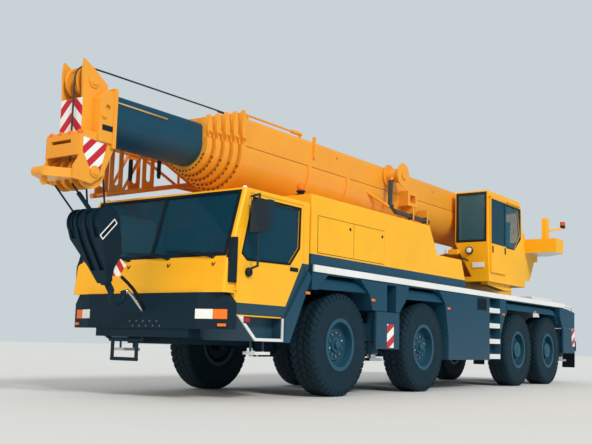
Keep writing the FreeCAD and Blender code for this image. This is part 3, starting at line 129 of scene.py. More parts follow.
def empty_material(name):
    """A material with nothing in it, its node tree, and the place on the object that its patterns follow."""
    material = bpy.data.materials.new(name)
    material.use_nodes = True
    tree = material.node_tree
    tree.nodes.clear()
    return material, tree, add_node(tree, "ShaderNodeTexCoord").outputs["Object"]


def surface(tree, feeds):
    """The shader that ends a material."""
    shader = add_node(tree, "ShaderNodeBsdfPrincipled", feeds)
    add_node(tree, "ShaderNodeOutputMaterial", {"Surface": shader.outputs[0]})


def bumped(tree, height, strength, distance):
    """The surface's direction where a height presses it in and out."""
    return add_node(tree, "ShaderNodeBump", {
        "Height": height, "Strength": strength, "Distance": distance}).outputs[0]


def one_colour(tree, code):
    """A colour that further nodes work on."""
    node = add_node(tree, "ShaderNodeRGB")
    node.outputs[0].default_value = linear(code)
    return node.outputs[0]


# %% [markdown]
# Machine enamel is sprayed over primer, so it has a faint orange peel, and on a road machine a little dust
# gathers low down. The peel of real paint is 2 to 4 mm across, and is drawn at about 25 mm so that it shows.
# One finish can carry several colours: each further colour fills the room between some planes, as masking
# tape would bound it.

# %% Enamel
def inside(tree, place, planes):
    """One where a place is on the inner side of every plane, each given as a direction and its reach."""
    mask = None
    for direction, reach in planes:
        along = add_node(tree, "ShaderNodeVectorMath", {0: place, 1: direction}, operation="DOT_PRODUCT")
        under = sums(tree, "LESS_THAN", along.outputs["Value"], reach)
        mask = under if mask is None else sums(tree, "MULTIPLY", mask, under)
    return mask


def box_planes(x0, x1, y0, y1, z0, z1):
    """The six planes round a block of room, measured from the first axle."""
    return [((1, 0, 0), x1 + AXLE_1), ((-1, 0, 0), -x0 - AXLE_1), ((0, 1, 0), y1), ((0, -1, 0), -y0),
            ((0, 0, 1), z1), ((0, 0, -1), -z0)]


def slope_plane(x, z, x2, z2, side):
    """The plane through two points of a side view, keeping what lies on one side of it."""
    nx, nz = (z2 - z) * side, -(x2 - x) * side
    length = math.hypot(nx, nz)
    return ((nx / length, 0, nz / length), (nx * (x + AXLE_1) + nz * z) / length)


DUST = "#8C8477"
DUST_LOW, DUST_HIGH = 0.3, 1.5


def enamel(name, code, masks=(), roughness=0.34, coat=0.12, dust=0.1, sheen=0.35):
    """Sprayed paint: a colour, further colours in masked rooms, orange peel and a little dust low down."""
    material, tree, place = empty_material(name)
    shift = spread(tree, noise(tree, place, 1.3, 4.0, 0.6), 0.3, 0.7, 0.93, 1.03)
    paint = one_colour(tree, code)
    for planes, masked in masks:
        paint = mixed(tree, inside(tree, place, planes), paint, linear(masked))
    height = add_node(tree, "ShaderNodeSeparateXYZ", {0: place}).outputs["Z"]
    lowness = spread(tree, height, DUST_LOW, DUST_HIGH, dust, 0.0)
    amount = sums(tree, "MULTIPLY", lowness, noise(tree, place, 9.0, 6.0, 0.7))
    surface(tree, {
        "Base Color": mixed(tree, amount, scaled(tree, paint, shift), linear(DUST)),
        "Roughness": spread(tree, amount, 0.0, 1.0, roughness, 0.9),
        "Normal": bumped(tree, noise(tree, place, 40.0, 2.0), 0.02, 0.01),
        "Coat Weight": coat, "Coat Roughness": 0.12, "Specular IOR Level": sheen})
    return material


# The boom wears the body's yellow paint. The second colour here, a more orange yellow, is that paint in
# painted shade, for the boom's faces that stand in less light.
YELLOW, BOOM_YELLOW_IN_SHADE, SLATE, DARK = "#FAB81E", "#ECA232", "#17465E", "#0B2838"
WHITE, RED, BLACK = "#E8EBEC", "#C32030", "#091A24"
body_yellow = enamel("yellow_machine_enamel", YELLOW)
boom_yellow_in_shade = enamel("boom_yellow_enamel_painted_shade", BOOM_YELLOW_IN_SHADE)
slate = enamel("slate_chassis_enamel", SLATE, roughness=0.45, coat=0.05, sheen=0.2)
frame_black = enamel("blue_black_chassis_enamel", DARK, roughness=0.5, coat=0.0, dust=0.02, sheen=0.15)
rail_white = enamel("white_rail_enamel", WHITE)

# %% [markdown]
# Tyre rubber is carbon black filled, matt, and greyer where dust has worked in. The picture shows it bluish.
# Glass is thin tinted sheet. It is kept dark, because the cab behind it is unlit in the picture.

# %% Rubber, glass, metals and lamps
def plain(name, code, roughness, metallic=0.0, grain=0.05, scale=60.0, **more):
    """A finish of one colour with a fine uneven skin, for rubber, plastic, trim and bare metal."""
    material, tree, place = empty_material(name)
    cloud = noise(tree, place, scale, 4.0, 0.65)
    colour = scaled(tree, one_colour(tree, code), spread(tree, cloud, 0.25, 0.75, 0.8, 1.2))
    surface(tree, {"Base Color": colour, "Roughness": roughness, "Metallic": metallic,
                   "Normal": bumped(tree, cloud, grain, 0.004), **more})
    return material


MATT = {"Specular IOR Level": 0.2}
LENS = {"grain": 0.3, "scale": 90.0}
RUBBER = "#0C2937"
tyre_rubber = plain("tyre_rubber", RUBBER, 0.72, grain=0.25, scale=30.0, **MATT)
black_plastic = plain("black_moulded_plastic", "#10232E", 0.5, **MATT)
# This black finish is real rubber on the seals, loops, strap and flaps, and painted shade behind the cover's
# panels, the vent's slats and the hook block's window.
black_rubber_and_shade = plain("black_rubber_and_painted_shade", "#08151D", 0.6, **MATT)
chrome = plain("hard_chrome", "#C9CED2", 0.12, metallic=1.0, grain=0.01)
nut_steel = plain("zinc_plated_nut_steel", "#7C8A92", 0.35, metallic=0.9, grain=0.1)
rope_steel = plain("greased_rope_steel", "#4A5257", 0.45, metallic=0.8, grain=0.2, scale=200.0)
lamp_white = plain("clear_lamp_lens", "#E9F0F2", 0.12, **LENS)
lamp_amber = plain("amber_lamp_lens", "#F07818", 0.15, **LENS)
lamp_red = plain("red_lamp_lens", "#B41C22", 0.15, **LENS)


def tinted_glass(name, code, clear):
    """Thin tinted sheet: mostly a dark glossy film, with a share of the view let through."""
    material, tree, place = empty_material(name)
    surface(tree, {"Base Color": linear(code), "Roughness": 0.04, "Alpha": 1.0 - clear,
                   "Normal": bumped(tree, noise(tree, place, 1.5, 1.0), 0.05, 0.02)})
    return material


# %% [markdown]
# Each solid keeps its shape and gets the finish of the real piece, from one table of finishes and solids.
# Solids that carry two colours, such as the doors with their slate foot, follow in a later step.

# %% Finishes of the solids
def dress(node, material):
    """Give a solid one finish."""
    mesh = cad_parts[node].data
    mesh.materials.clear()
    mesh.materials.append(material)


BEAMS = [f"{end}_{side}" for end in ("front", "rear") for _, side in SIDES]
KNUCKLES = [f"knuckle_{number}_{side}" for number in (1, 2, 3, 4) for _, side in SIDES]
FINISHES = [
    (body_yellow, ["engine_cover", "turntable"]),
    (boom_yellow_in_shade, ["tele_1", "tele_2", "tele_3", "tele_4", "boom_head", "luff_barrel"]),
    (slate, ["side_panels", "tele_5", *(f"outrigger_beam_{place}" for place in BEAMS)]),
    (enamel("deck_enamel", SLATE, roughness=0.45), ["deck"]),
    (frame_black, ["chassis_frame", "outrigger_housings", "axles", "front_bumper", "rear_crossbar",
                   "hook_block", "winch", *KNUCKLES]),
    (rail_white, ["stripe_rails"]),
    (enamel("orange_jib_enamel", "#D98232"), ["jib"]),
    (tinted_glass("dark_tinted_glass", "#0C4258", 0.35),
     ["cab_glass", "door_glass_left", "door_glass_right"]),
    (tinted_glass("pale_tinted_glass", "#2A6A80", 0.45), ["operator_glass"]),
    (plain("dark_seat_cloth", "#27323A", 0.9, grain=0.3, scale=120.0),
     ["cab_interior", "operator_seat"]),
    (plain("cast_engine_block", "#3A4145", 0.7, grain=0.3), ["engine"]),
    (chrome, ["luff_rod", *(f"jack_{place}" for place in BEAMS)]),
]
for material, nodes in FINISHES:
    for node in nodes:
        dress(node, material)
print("solids dressed:", sum(len(nodes) for _, nodes in FINISHES))

# %% [markdown]
# A few shape helpers make the added pieces: a flat outline with thickness, a bent pipe, and a turned shape.
# Each works in a bmesh, so that one piece can be built from several of them and stay one object.

# %% Shape helpers
def order(along, level, a, b):
    """A place whose value along one axis is level, with the other two in X, Y, Z order."""
    return {"x": (level, a, b), "y": (a, level, b), "z": (a, b, level)}[along]


def add_plate(bm, outline, along, start, end):
    """A flat outline given thickness along one axis."""
    loops = []
    for level in (start, end):
        loops.append([bm.verts.new(at(*order(along, level, a, b))) for a, b in outline])
    bm.faces.new(loops[0])
    bm.faces.new(list(reversed(loops[1])))
    for i in range(len(outline)):
        j = (i + 1) % len(outline)
        bm.faces.new((loops[0][j], loops[0][i], loops[1][i], loops[1][j]))


def add_block(bm, x0, x1, y0, y1, z0, z1):
    add_plate(bm, [(x0, y0), (x1, y0), (x1, y1), (x0, y1)], "z", z0, z1)


def add_ring(bm, middle, side, third, radius, sides):
    """The corners of one round cross-section."""
    return [bm.verts.new(middle + (side * math.cos(t) + third * math.sin(t)) * radius)
            for t in (2 * math.pi * k / sides for k in range(sides))]


def add_pipe(bm, points, radius, sides=12):
    """A round pipe along straight runs, mitred at each bend and closed at both ends."""
    path = [at(*p) for p in points]
    rings = []
    side = None
    for i, place in enumerate(path):
        back = (place - path[i - 1]).normalized() if i else (path[1] - place).normalized()
        on = (path[i + 1] - place).normalized() if i < len(path) - 1 else back
        way = (back + on).normalized()
        side = way.orthogonal().normalized() if side is None else (side - way * side.dot(way)).normalized()
        grow = 1 / max(0.5, way.dot(back))
        rings.append(add_ring(bm, place, side, way.cross(side), radius * grow, sides))
    for a, b in zip(rings, rings[1:]):
        for k in range(sides):
            bm.faces.new((a[k], a[(k + 1) % sides], b[(k + 1) % sides], b[k]))
    bm.faces.new(list(reversed(rings[0])))
    bm.faces.new(rings[-1])


def add_turned(bm, centre, axis, profile, sides=32):
    """A turned shape: profile columns are the distance along the axis and the radius."""
    way = Vector(axis).normalized()
    side = way.orthogonal().normalized()
    third = way.cross(side)
    rings = []
    for along, radius in profile:
        middle = at(*centre) + way * along
        if radius < 1e-5:
            rings.append([bm.verts.new(middle)] * sides)
        else:
            rings.append(add_ring(bm, middle, side, third, radius, sides))
    for a, b in zip(rings, rings[1:]):
        for k in range(sides):
            m = (k + 1) % sides
            corners = []
            for vert in (a[k], a[m], b[m], b[k]):
                if vert not in corners:
                    corners.append(vert)
            if len(corners) > 2:
                bm.faces.new(corners)
    for ring, first in ((rings[0], True), (rings[-1], False)):
        if ring[0] is not ring[1]:
            bm.faces.new(list(reversed(ring)) if first else ring)


def piece(name, bm, material, body, bevel=0.0, smooth=False):
    """Turn a bmesh into a finished object that rides on a body."""
    bmesh.ops.recalc_face_normals(bm, faces=bm.faces)
    mesh = bpy.data.meshes.new(name)
    bm.to_mesh(mesh)
    bm.free()
    mesh.materials.append(material)
    thing = bpy.data.objects.new(name, mesh)
    bpy.context.scene.collection.objects.link(thing)
    if bevel:
        rounding = thing.modifiers.new("soft_edges", "BEVEL")
        rounding.width = bevel
        rounding.segments = 2
        rounding.limit_method = "ANGLE"
    for polygon in mesh.polygons:
        polygon.use_smooth = smooth
    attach(thing, body)
    return thing


def plate_piece(name, outline, along, start, end, material, body, bevel=0.0):
    """A piece that is one flat outline with thickness."""
    bm = bmesh.new()
    add_plate(bm, outline, along, start, end)
    return piece(name, bm, material, body, bevel)


def block_piece(name, room, material, body, bevel=0.0):
    """A piece that is one block, its room given as the lowest and highest X, Y and Z."""
    bm = bmesh.new()
    add_block(bm, *room)
    return piece(name, bm, material, body, bevel)


def turned_piece(name, centre, axis, profile, sides, material, body, smooth=True):
    """A piece that is one turned shape."""
    bm = bmesh.new()
    add_turned(bm, centre, axis, profile, sides)
    return piece(name, bm, material, body, smooth=smooth)


def pipe_piece(name, points, radius, sides, material, body):
    """A piece that is one bent pipe or rope."""
    bm = bmesh.new()
    add_pipe(bm, points, radius, sides)
    return piece(name, bm, material, body, smooth=True)


# %% [markdown]
# What repeats on the real crane is cast or bought many times over: tread lugs, wheel nuts, bolts, slats.
# They could be copied in a loop, but one node tree does it for all of them: it takes a small shape and stands
# copies of it at even steps and even turns. The result is kept as a plain mesh that rides on one body.

# %% Repeat tree
def repeat_tree():
    """A node tree that repeats its input shape, and the identifiers of its inputs by name."""
    tree = bpy.data.node_groups.new("even_repeats", "GeometryNodeTree")
    names = {}
    for name, kind in (("Shape", "Geometry"), ("Count", "Int"), ("Step", "Vector"), ("Turn", "Vector"),
                       ("Finish", "Material")):
        socket = tree.interface.new_socket(name=name, in_out="INPUT", socket_type="NodeSocket" + kind)
        names[name] = socket.identifier
    tree.interface.new_socket(name="Result", in_out="OUTPUT", socket_type="NodeSocketGeometry")
    given = add_node(tree, "NodeGroupInput").outputs
    number = add_node(tree, "GeometryNodeInputIndex").outputs[0]
    steps = scaled(tree, given["Step"], number)
    turns = scaled(tree, given["Turn"], number)
    points = add_node(tree, "GeometryNodePoints", {"Count": given["Count"], "Position": steps})
    copies = add_node(tree, "GeometryNodeInstanceOnPoints", {
        "Points": points.outputs[0], "Instance": given["Shape"], "Rotation": turns})
    real = add_node(tree, "GeometryNodeRealizeInstances", {"Geometry": copies.outputs[0]})
    done = add_node(tree, "GeometryNodeSetMaterial", {
        "Geometry": real.outputs[0], "Material": given["Finish"]})
    add_node(tree, "NodeGroupOutput", {"Result": done.outputs[0]})
    return tree, names


REPEATS, REPEAT_INPUTS = repeat_tree()
STILL = (0.0, 0.0, 0.0)


def repeated(name, bm, count, material, body, step=STILL, turn=STILL, centre=STILL):
    """Copies of a small shape, each one step and one turn about a centre further on, as one plain mesh."""
    pivot = at(*centre)
    bmesh.ops.translate(bm, vec=-pivot, verts=bm.verts)
    bmesh.ops.recalc_face_normals(bm, faces=bm.faces)
    first = bpy.data.meshes.new(name + "_first")
    bm.to_mesh(first)
    bm.free()
    thing = bpy.data.objects.new(name, first)
    bpy.context.scene.collection.objects.link(thing)
    maker = thing.modifiers.new("even_repeats", "NODES")
    maker.node_group = REPEATS
    for socket, value in (("Count", count), ("Step", step), ("Turn", turn), ("Finish", material)):
        maker[REPEAT_INPUTS[socket]] = value
    mesh = bpy.data.meshes.new_from_object(thing.evaluated_get(bpy.context.evaluated_depsgraph_get()))
    thing.modifiers.clear()
    thing.data = mesh
    mesh.transform(Matrix.Translation(pivot))
    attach(thing, body)
    print(name, len(mesh.polygons), "faces")
    return thing


# %% [markdown]
# The tyres are moulded rubber with a blocky tread. The rims are pressed steel in slate enamel. Both are one
# solid's mesh, so one finish tells them apart by the distance from the axle, and the tread's cuts go round by
# the angle. The cuts of the real tread are 12 mm wide, and are drawn at about 20 mm so that they show. Their
# near-black colour is painted shade in the recesses.

# %% Wheel finishes
AXLES = [(1, 0.0), (2, -2.434), (3, -6.401), (4, -8.051)]
WHEEL_Y = 1.0525
WHEEL_Z = 0.685
CROWN_R = 0.679
RIM_R = 0.3535
LUGS = 44
CUT_SHARE = 0.2


def wheel_finish(number, x):
    """Rubber outside the rim's flange and enamel inside it, for one axle's wheels."""
    material, tree, place = empty_material(f"tyre_rubber_and_rim_enamel_{number}")
    centred = add_node(tree, "ShaderNodeVectorMath", {0: place, 1: at(x, 0, WHEEL_Z)}, operation="SUBTRACT")
    parts = add_node(tree, "ShaderNodeSeparateXYZ", {0: centred.outputs[0]}).outputs
    flat = add_node(tree, "ShaderNodeVectorMath", {0: centred.outputs[0], 1: (1, 0, 1)}, operation="MULTIPLY")
    radius = add_node(tree, "ShaderNodeVectorMath", {0: flat.outputs[0]}, operation="LENGTH").outputs["Value"]
    angle = sums(tree, "ARCTAN2", parts["Z"], parts["X"])
    off = sums(tree, "SUBTRACT", sums(tree, "ABSOLUTE", parts["Y"]), WHEEL_Y)
    across = sums(tree, "ABSOLUTE", off)
    lugs_on = sums(tree, "MULTIPLY_ADD", angle, LUGS / (2 * math.pi), sums(tree, "MULTIPLY", across, 9.0))
    cut = sums(tree, "LESS_THAN", sums(tree, "FRACT", lugs_on), CUT_SHARE)
    rib = sums(tree, "COMPARE", across, 0.05, 0.009)
    grooves = sums(tree, "MAXIMUM", cut, rib)
    tread = sums(tree, "MULTIPLY", grooves, sums(tree, "GREATER_THAN", radius, CROWN_R))
    rings = sums(tree, "SINE", sums(tree, "MULTIPLY", radius, 150.0))
    height = sums(tree, "SUBTRACT", sums(tree, "MULTIPLY", rings, 0.12), tread)
    dusty = spread(tree, noise(tree, place, 7.0, 6.0, 0.7), 0.4, 0.8, 0.0, 0.22)
    rubber = mixed(tree, dusty, linear(RUBBER), linear("#2E434E"))
    # The cuts are coloured near black: painted shade in the tread's recesses, on the same rubber.
    tyre = mixed(tree, tread, rubber, linear("#060A0D"))
    rim = mixed(tree, dusty, linear("#1F4D63"), linear("#4E6672"))
    on_rim = sums(tree, "LESS_THAN", radius, RIM_R)
    surface(tree, {
        "Base Color": mixed(tree, on_rim, tyre, rim), "Roughness": spread(tree, on_rim, 0.0, 1.0, 0.7, 0.38),
        "Normal": bumped(tree, height, 0.6, 0.008), "Specular IOR Level": 0.2})
    return material


for number, x in AXLES:
    finish = wheel_finish(number, x)
    for _, side in SIDES:
        dress(f"wheel_{number}_{side}", finish)

# %% [markdown]
# Each shoulder of a tyre carries lugs that bite into soft ground. The solid leaves a chamfer there, and the
# lugs fill it. The wheel nuts stand in a ring on the hub's flange. Both are repeated by turning them about
# the axle.

# %% Tread lugs and wheel nuts
LUG_SIDE = [(0.125, 0.655), (0.125, 0.6835), (0.156, 0.6835), (0.183, 0.664), (0.1895, 0.60), (0.176, 0.595)]
LUG_HALF = 0.033
NUTS = 10
NUT_SHAPE = [(0.0, 0.023), (0.006, 0.023), (0.0062, 0.018), (0.028, 0.018), (0.034, 0.010), (0.036, 0.0)]
NUT_RINGS = {1: 0.158, 2: 0.158, 3: 0.182, 4: 0.182}
for number, x in AXLES:
    for way, side in SIDES:
        bm = bmesh.new()
        for flank in (1, -1):
            outline = [(way * (WHEEL_Y + flank * dy), WHEEL_Z + r) for dy, r in LUG_SIDE]
            add_plate(bm, outline, "x", x - LUG_HALF, x + LUG_HALF)
        repeated(f"tread_lugs_{number}_{side}", bm, LUGS, tyre_rubber, f"wheel_{number}_{side}",
                 turn=(0.0, 2 * math.pi / LUGS, 0.0), centre=(x, 0.0, WHEEL_Z))
        bm = bmesh.new()
        seat = (x, way * (WHEEL_Y + 0.083), WHEEL_Z + NUT_RINGS[number])
        add_turned(bm, seat, (0, way, 0), NUT_SHAPE, 6)
        repeated(f"wheel_nuts_{number}_{side}", bm, NUTS, nut_steel, f"wheel_{number}_{side}",
                 turn=(0.0, 2 * math.pi / NUTS, 0.0), centre=(x, 0.0, WHEEL_Z))

# %% [markdown]
# Some solids carry more than one colour, as a masked paint job does: the black surround of the windscreen,
# the slate foot and rear band of the doors, the white faces of the steps, the dark hose under the boom.

# %% Paint of several colours
DOOR_FOOT, DOOR_FOOT_TOP = "#1C4153", 1.13
TREAD_WHITE = "#DDE2E3"
HOSE = "#33424A"
door_band = [slope_plane(0.970, 1.683, 1.312, 1.119, -1), ((0, 0, 1), 1.69)]
screen_surround = box_planes(2.05, 2.6, -1.195, 1.195, 1.655, 2.462)
dress("cab_shell", enamel("cab_enamel", YELLOW, masks=[(door_band, DOOR_FOOT), (screen_surround, BLACK)]))
for way, side in SIDES:
    mirror = box_planes(1.9, 2.2, *sorted((way * 1.262, way * 1.7)), 1.4, 2.5)
    dress(f"door_{side}", enamel(f"door_enamel_{side}", YELLOW, masks=[
        ([((0, 0, 1), DOOR_FOOT_TOP)], DOOR_FOOT), (door_band, DOOR_FOOT), (mirror, "#102E3E")]))

# columns: rear, front, inner side, outer side, foot and top of what is white on the steps, on each side
STEP_WHITES = [(-5.42, -4.91, 1.112, 1.3, 0.5, 1.43), (1.3, 2.24, 1.235, 1.3, 0.6, 0.985),
               (1.49, 1.81, 0.99, 1.19, 0.53, 0.58)]
whites = [(box_planes(x0, x1, *sorted((way * y0, way * y1)), z0, z1), TREAD_WHITE)
          for way, _ in SIDES for x0, x1, y0, y1, z0, z1 in STEP_WHITES]
dress("steps", enamel("step_enamel_and_white_treads", SLATE, masks=whites, roughness=0.45))
dress("counterweight", enamel("counterweight_enamel", YELLOW, masks=[
    ([((0, 0, 1), 2.802)], "#C4CCCF"), (box_planes(-9.27, -9.13, 1.13, 1.27, 3.38, 3.44), BLACK),
    (box_planes(-9.27, -9.13, 1.13, 1.27, 3.44, 3.6), "#D2502A")]))
# The boom base's main colour is the body's yellow in painted shade, as on the rest of the boom; the hose is
# its own dark colour.
dress("boom_base", enamel("boom_enamel_and_black_hose", BOOM_YELLOW_IN_SHADE, masks=[
    (box_planes(-2.52, -2.40, 0.555, 0.645, 2.93, 3.40), HOSE),
    (box_planes(-3.87, -2.42, 0.555, 0.645, 2.825, 2.93), HOSE)]))
upper_side_glass = [slope_plane(-6.74, 2.88, -6.33, 2.585, 1),
                    *box_planes(-6.70, -5.16, 1.185, 1.192, 2.60, 3.455)]
dress("operator_cab", enamel("upper_cab_enamel", YELLOW, masks=[
    (box_planes(-5.13, -4.9, 0.56, 1.168, 2.635, 3.57), BLACK), (upper_side_glass, BLACK)]))
dress("operator_door", enamel("upper_door_enamel", YELLOW, masks=[
    (box_planes(-5.9, -5.15, 1.19, 1.24, 2.61, 3.45), "#123C4E")]))
print("finishes made:", len(bpy.data.materials))

# %% [markdown]
# Hazard stripes are red and white reflective film on thin plates. One finish draws stripes in any direction.
# Where the direction is taken from the distance to the middle, both halves lean to each other as chevrons.

# %% Hazard film
def hazard_film(name, direction, pitch, chevrons=False):
    """Red and white stripes: pitch is the width of a red and a white stripe together, in metres."""
    material, tree, place = empty_material(name)
    grain = noise(tree, place, 120.0, 2.0)
    if chevrons:
        place = add_node(tree, "ShaderNodeVectorMath", {0: place}, operation="ABSOLUTE").outputs[0]
    along = add_node(tree, "ShaderNodeVectorMath", {0: place, 1: direction}, operation="DOT_PRODUCT")
    share = sums(tree, "FRACT", sums(tree, "DIVIDE", along.outputs["Value"], pitch))
    red = sums(tree, "LESS_THAN", share, 0.5)
    surface(tree, {"Base Color": mixed(tree, red, linear("#EDEFF0"), linear(RED)), "Roughness": 0.3,
                   "Normal": bumped(tree, grain, 0.1, 0.002), "Coat Weight": 0.3})
    return material


chevron_film = hazard_film("chevron_film", (0.0, 0.707, 0.707), 0.166, chevrons=True)
head_film = hazard_film("head_plate_film", (0.707, 0.0, 0.707), 0.150)
side_film = hazard_film("side_plate_film", (0.5, 0.0, 0.866), 0.20)
hook_film = hazard_film("hook_plate_film", (0.77, 0.0, -0.64), 0.16)

# %% [markdown]
# Reflective plates stand where people and other vehicles may come close: on the boom's head, the hook block
# and the outriggers' covers. Each is a thin plate, screwed on, so it stands a few millimetres proud.

# %% Hazard plates
HEAD_FRONT = [(-0.175, 2.94), (0.175, 2.94), (0.175, 3.325), (-0.175, 3.325)]
HEAD_CHEEK = [(3.79, 2.862), (3.446, 2.832), (3.535, 2.495), (3.645, 2.478), (3.79, 2.70)]
HOOK_CHEEK = [(3.112, 1.47), (2.975, 1.601), (2.885, 1.535), (2.99, 1.395), (3.09, 1.40)]
PLATE_EDGE = 0.001
plate_piece("head_chevrons", HEAD_FRONT, "x", 3.7455, 3.7495, chevron_film, "section_5", PLATE_EDGE)
for way, side in SIDES:
    plate_piece(f"head_plate_{side}", HEAD_CHEEK, "y", way * 0.2755, way * 0.2795, head_film, "section_5",
                PLATE_EDGE)
    front_room = (-1.384, -1.187, way * 1.2755, way * 1.2795, 0.66, 1.0)
    block_piece(f"front_cover_plate_{side}", front_room, side_film, f"beam_front_{side}", PLATE_EDGE)
    rear_room = (-9.645, -9.45, way * 1.2755, way * 1.2795, 0.79, 1.16)
    block_piece(f"rear_cover_plate_{side}", rear_room, side_film, f"beam_rear_{side}", PLATE_EDGE)
plate_piece("hook_plate", HOOK_CHEEK, "y", 0.085, 0.097, hook_film, "hook", PLATE_EDGE)

# %% [markdown]
# The cab's small fittings are black plastic and rubber: the duct on each corner, the window seal, the handle,
# the wipers that park along the windscreen's foot. They are bent pipes and thin bevelled plates.

# %% Cab fittings
DOOR_WINDOW = [(1.990, 2.365), (1.040, 2.365), (1.050, 1.880), (1.240, 1.670), (2.080, 1.650), (2.165, 1.710)]
CORNER_DUCT = [(2.305, 1.35), (2.43, 1.35), (2.43, 1.60), (2.405, 1.66), (2.345, 1.875), (2.30, 1.875)]
MIRROR_GLASS = [(1.32, 1.97), (1.55, 1.97), (1.55, 2.30), (1.32, 2.30)]
MIRROR_FOOT = [(0.0, 0.05), (0.012, 0.056), (0.035, 0.05), (0.05, 0.03), (0.056, 0.0)]


def screen_x(z):
    """The outer face of the windscreen at a height."""
    return 2.140 - 0.30952 * (z - 2.490)


def add_frame(bm, outline, along, start, end, width):
    """A frame of even width round the outside of a flat outline."""
    count = len(outline)
    middle = Vector((sum(a for a, _ in outline), sum(b for _, b in outline))) / count
    outer = []
    for i in range(count):
        here, last, coming = Vector(outline[i]), Vector(outline[i - 1]), Vector(outline[(i + 1) % count])
        normals = []
        for p, q in ((last, here), (here, coming)):
            run = (q - p).normalized()
            normal = Vector((run.y, -run.x))
            normals.append(normal if normal.dot((p + q) / 2 - middle) > 0 else -normal)
        lean = (normals[0] + normals[1]).normalized()
        outer.append(here + lean * width / max(0.4, lean.dot(normals[0])))
    loops = [[bm.verts.new(at(*order(along, level, a, b))) for a, b in line]
             for level in (start, end) for line in (outline, outer)]
    for i in range(count):
        j = (i + 1) % count
        for a, b in ((0, 1), (1, 3), (3, 2), (2, 0)):
            bm.faces.new((loops[a][i], loops[a][j], loops[b][j], loops[b][i]))


for way, side in SIDES:
    plate_piece(f"corner_duct_{side}", CORNER_DUCT, "y", way * 1.20, way * 1.285, black_plastic, "carrier",
                bevel=0.008)
    bm = bmesh.new()
    add_frame(bm, DOOR_WINDOW, "y", way * 1.238, way * 1.256, 0.028)
    piece(f"door_seal_{side}", bm, black_rubber_and_shade, f"door_{side}", bevel=0.004)
    bm = bmesh.new()
    add_block(bm, 1.06, 1.23, way * 1.250, way * 1.259, 1.572, 1.622)
    add_block(bm, 1.075, 1.20, way * 1.258, way * 1.274, 1.590, 1.608)
    piece(f"door_handle_{side}", bm, black_plastic, f"door_{side}", bevel=0.004)
    plate_piece(f"mirror_glass_{side}", [(way * y, z) for y, z in MIRROR_GLASS], "x", 2.0165, 2.0195, chrome,
                f"door_{side}", bevel=0.001)
    turned_piece(f"mirror_arm_foot_{side}", (2.07, way * 1.251, 1.49), (0, way, 0), MIRROR_FOOT, 24,
                 black_plastic, f"door_{side}")

# columns: distance off the glass, across from the wiper's foot, height
WIPER_ARM = [(0.020, 0.0, 1.640), (0.034, -0.14, 1.672), (0.022, -0.50, 1.728)]
WIPER_BLADE = [(0.010, -0.20, 1.704), (0.010, -0.76, 1.744)]
WIPER_BOSS = [(0.0, 0.024), (0.024, 0.024), (0.034, 0.014), (0.034, 0.0)]
WIPER_FOOT_Z = 1.640
# columns: forward, across from the wiper's foot, height
WASHER_LOOP = [(2.424, 0.01, 1.612), (2.462, 0.035, 1.56), (2.466, 0.05, 1.545), (2.425, 0.105, 1.615)]
wiper, loops = bmesh.new(), bmesh.new()
for foot_y in (-0.350, 0.310, 1.005):
    seat = (screen_x(WIPER_FOOT_Z) - 0.005, foot_y, WIPER_FOOT_Z)
    add_turned(wiper, seat, (0.955, 0, 0.296), WIPER_BOSS, 12)
    add_pipe(wiper, [(screen_x(z) + off, foot_y + across, z) for off, across, z in WIPER_ARM], 0.010, 8)
    add_pipe(wiper, [(screen_x(z) + off, foot_y + across, z) for off, across, z in WIPER_BLADE], 0.008, 6)
    add_pipe(loops, [(x, foot_y + across, z) for x, across, z in WASHER_LOOP], 0.006, 8)
piece("windscreen_wipers", wiper, black_plastic, "carrier")
piece("washer_loops", loops, black_rubber_and_shade, "carrier", smooth=True)

# %% [markdown]
# Lamps are moulded lenses. The head lamps and indicators fill the bumper's slanted pockets, so their outline
# is cut from the same slant. Small amber markers stand along the sides, and amber domes above the cover.

# %% Lamps
SIDE_MARKERS = (0.871, -0.771, -3.229, -5.554)
ROOF_MARKER = [(0.0, 0.03), (0.018, 0.03), (0.032, 0.018), (0.036, 0.0)]
BEACON_FOOT = [(0.0, 0.075), (0.02, 0.075), (0.03, 0.045), (0.055, 0.045), (0.055, 0.062), (0.07, 0.062)]
BEACON_DOME = [(0.0, 0.056), (0.06, 0.054), (0.095, 0.042), (0.11, 0.02), (0.113, 0.0)]
LAMP_SHELL = [(0.0, 0.07), (0.04, 0.072), (0.052, 0.062), (0.044, 0.056), (0.044, 0.0)]
LAMP_GLASS = [(-0.002, 0.055), (0.004, 0.05), (0.010, 0.03), (0.012, 0.0)]
UPWARD, FORWARD, LEFTWARD = (0, 0, 1), (1, 0, 0), (0, 1, 0)


def corner_outline(way, y0, y1, front, back):
    """A lamp seen from above on the bumper's slanted corner, its front and back measured from the face."""
    x0, x1 = (2.530 - (y - 0.9) / 3 for y in (y0, y1))
    return [(x0 + front, way * y0), (x1 + front, way * y1), (x1 + back, way * y1), (x0 + back, way * y0)]


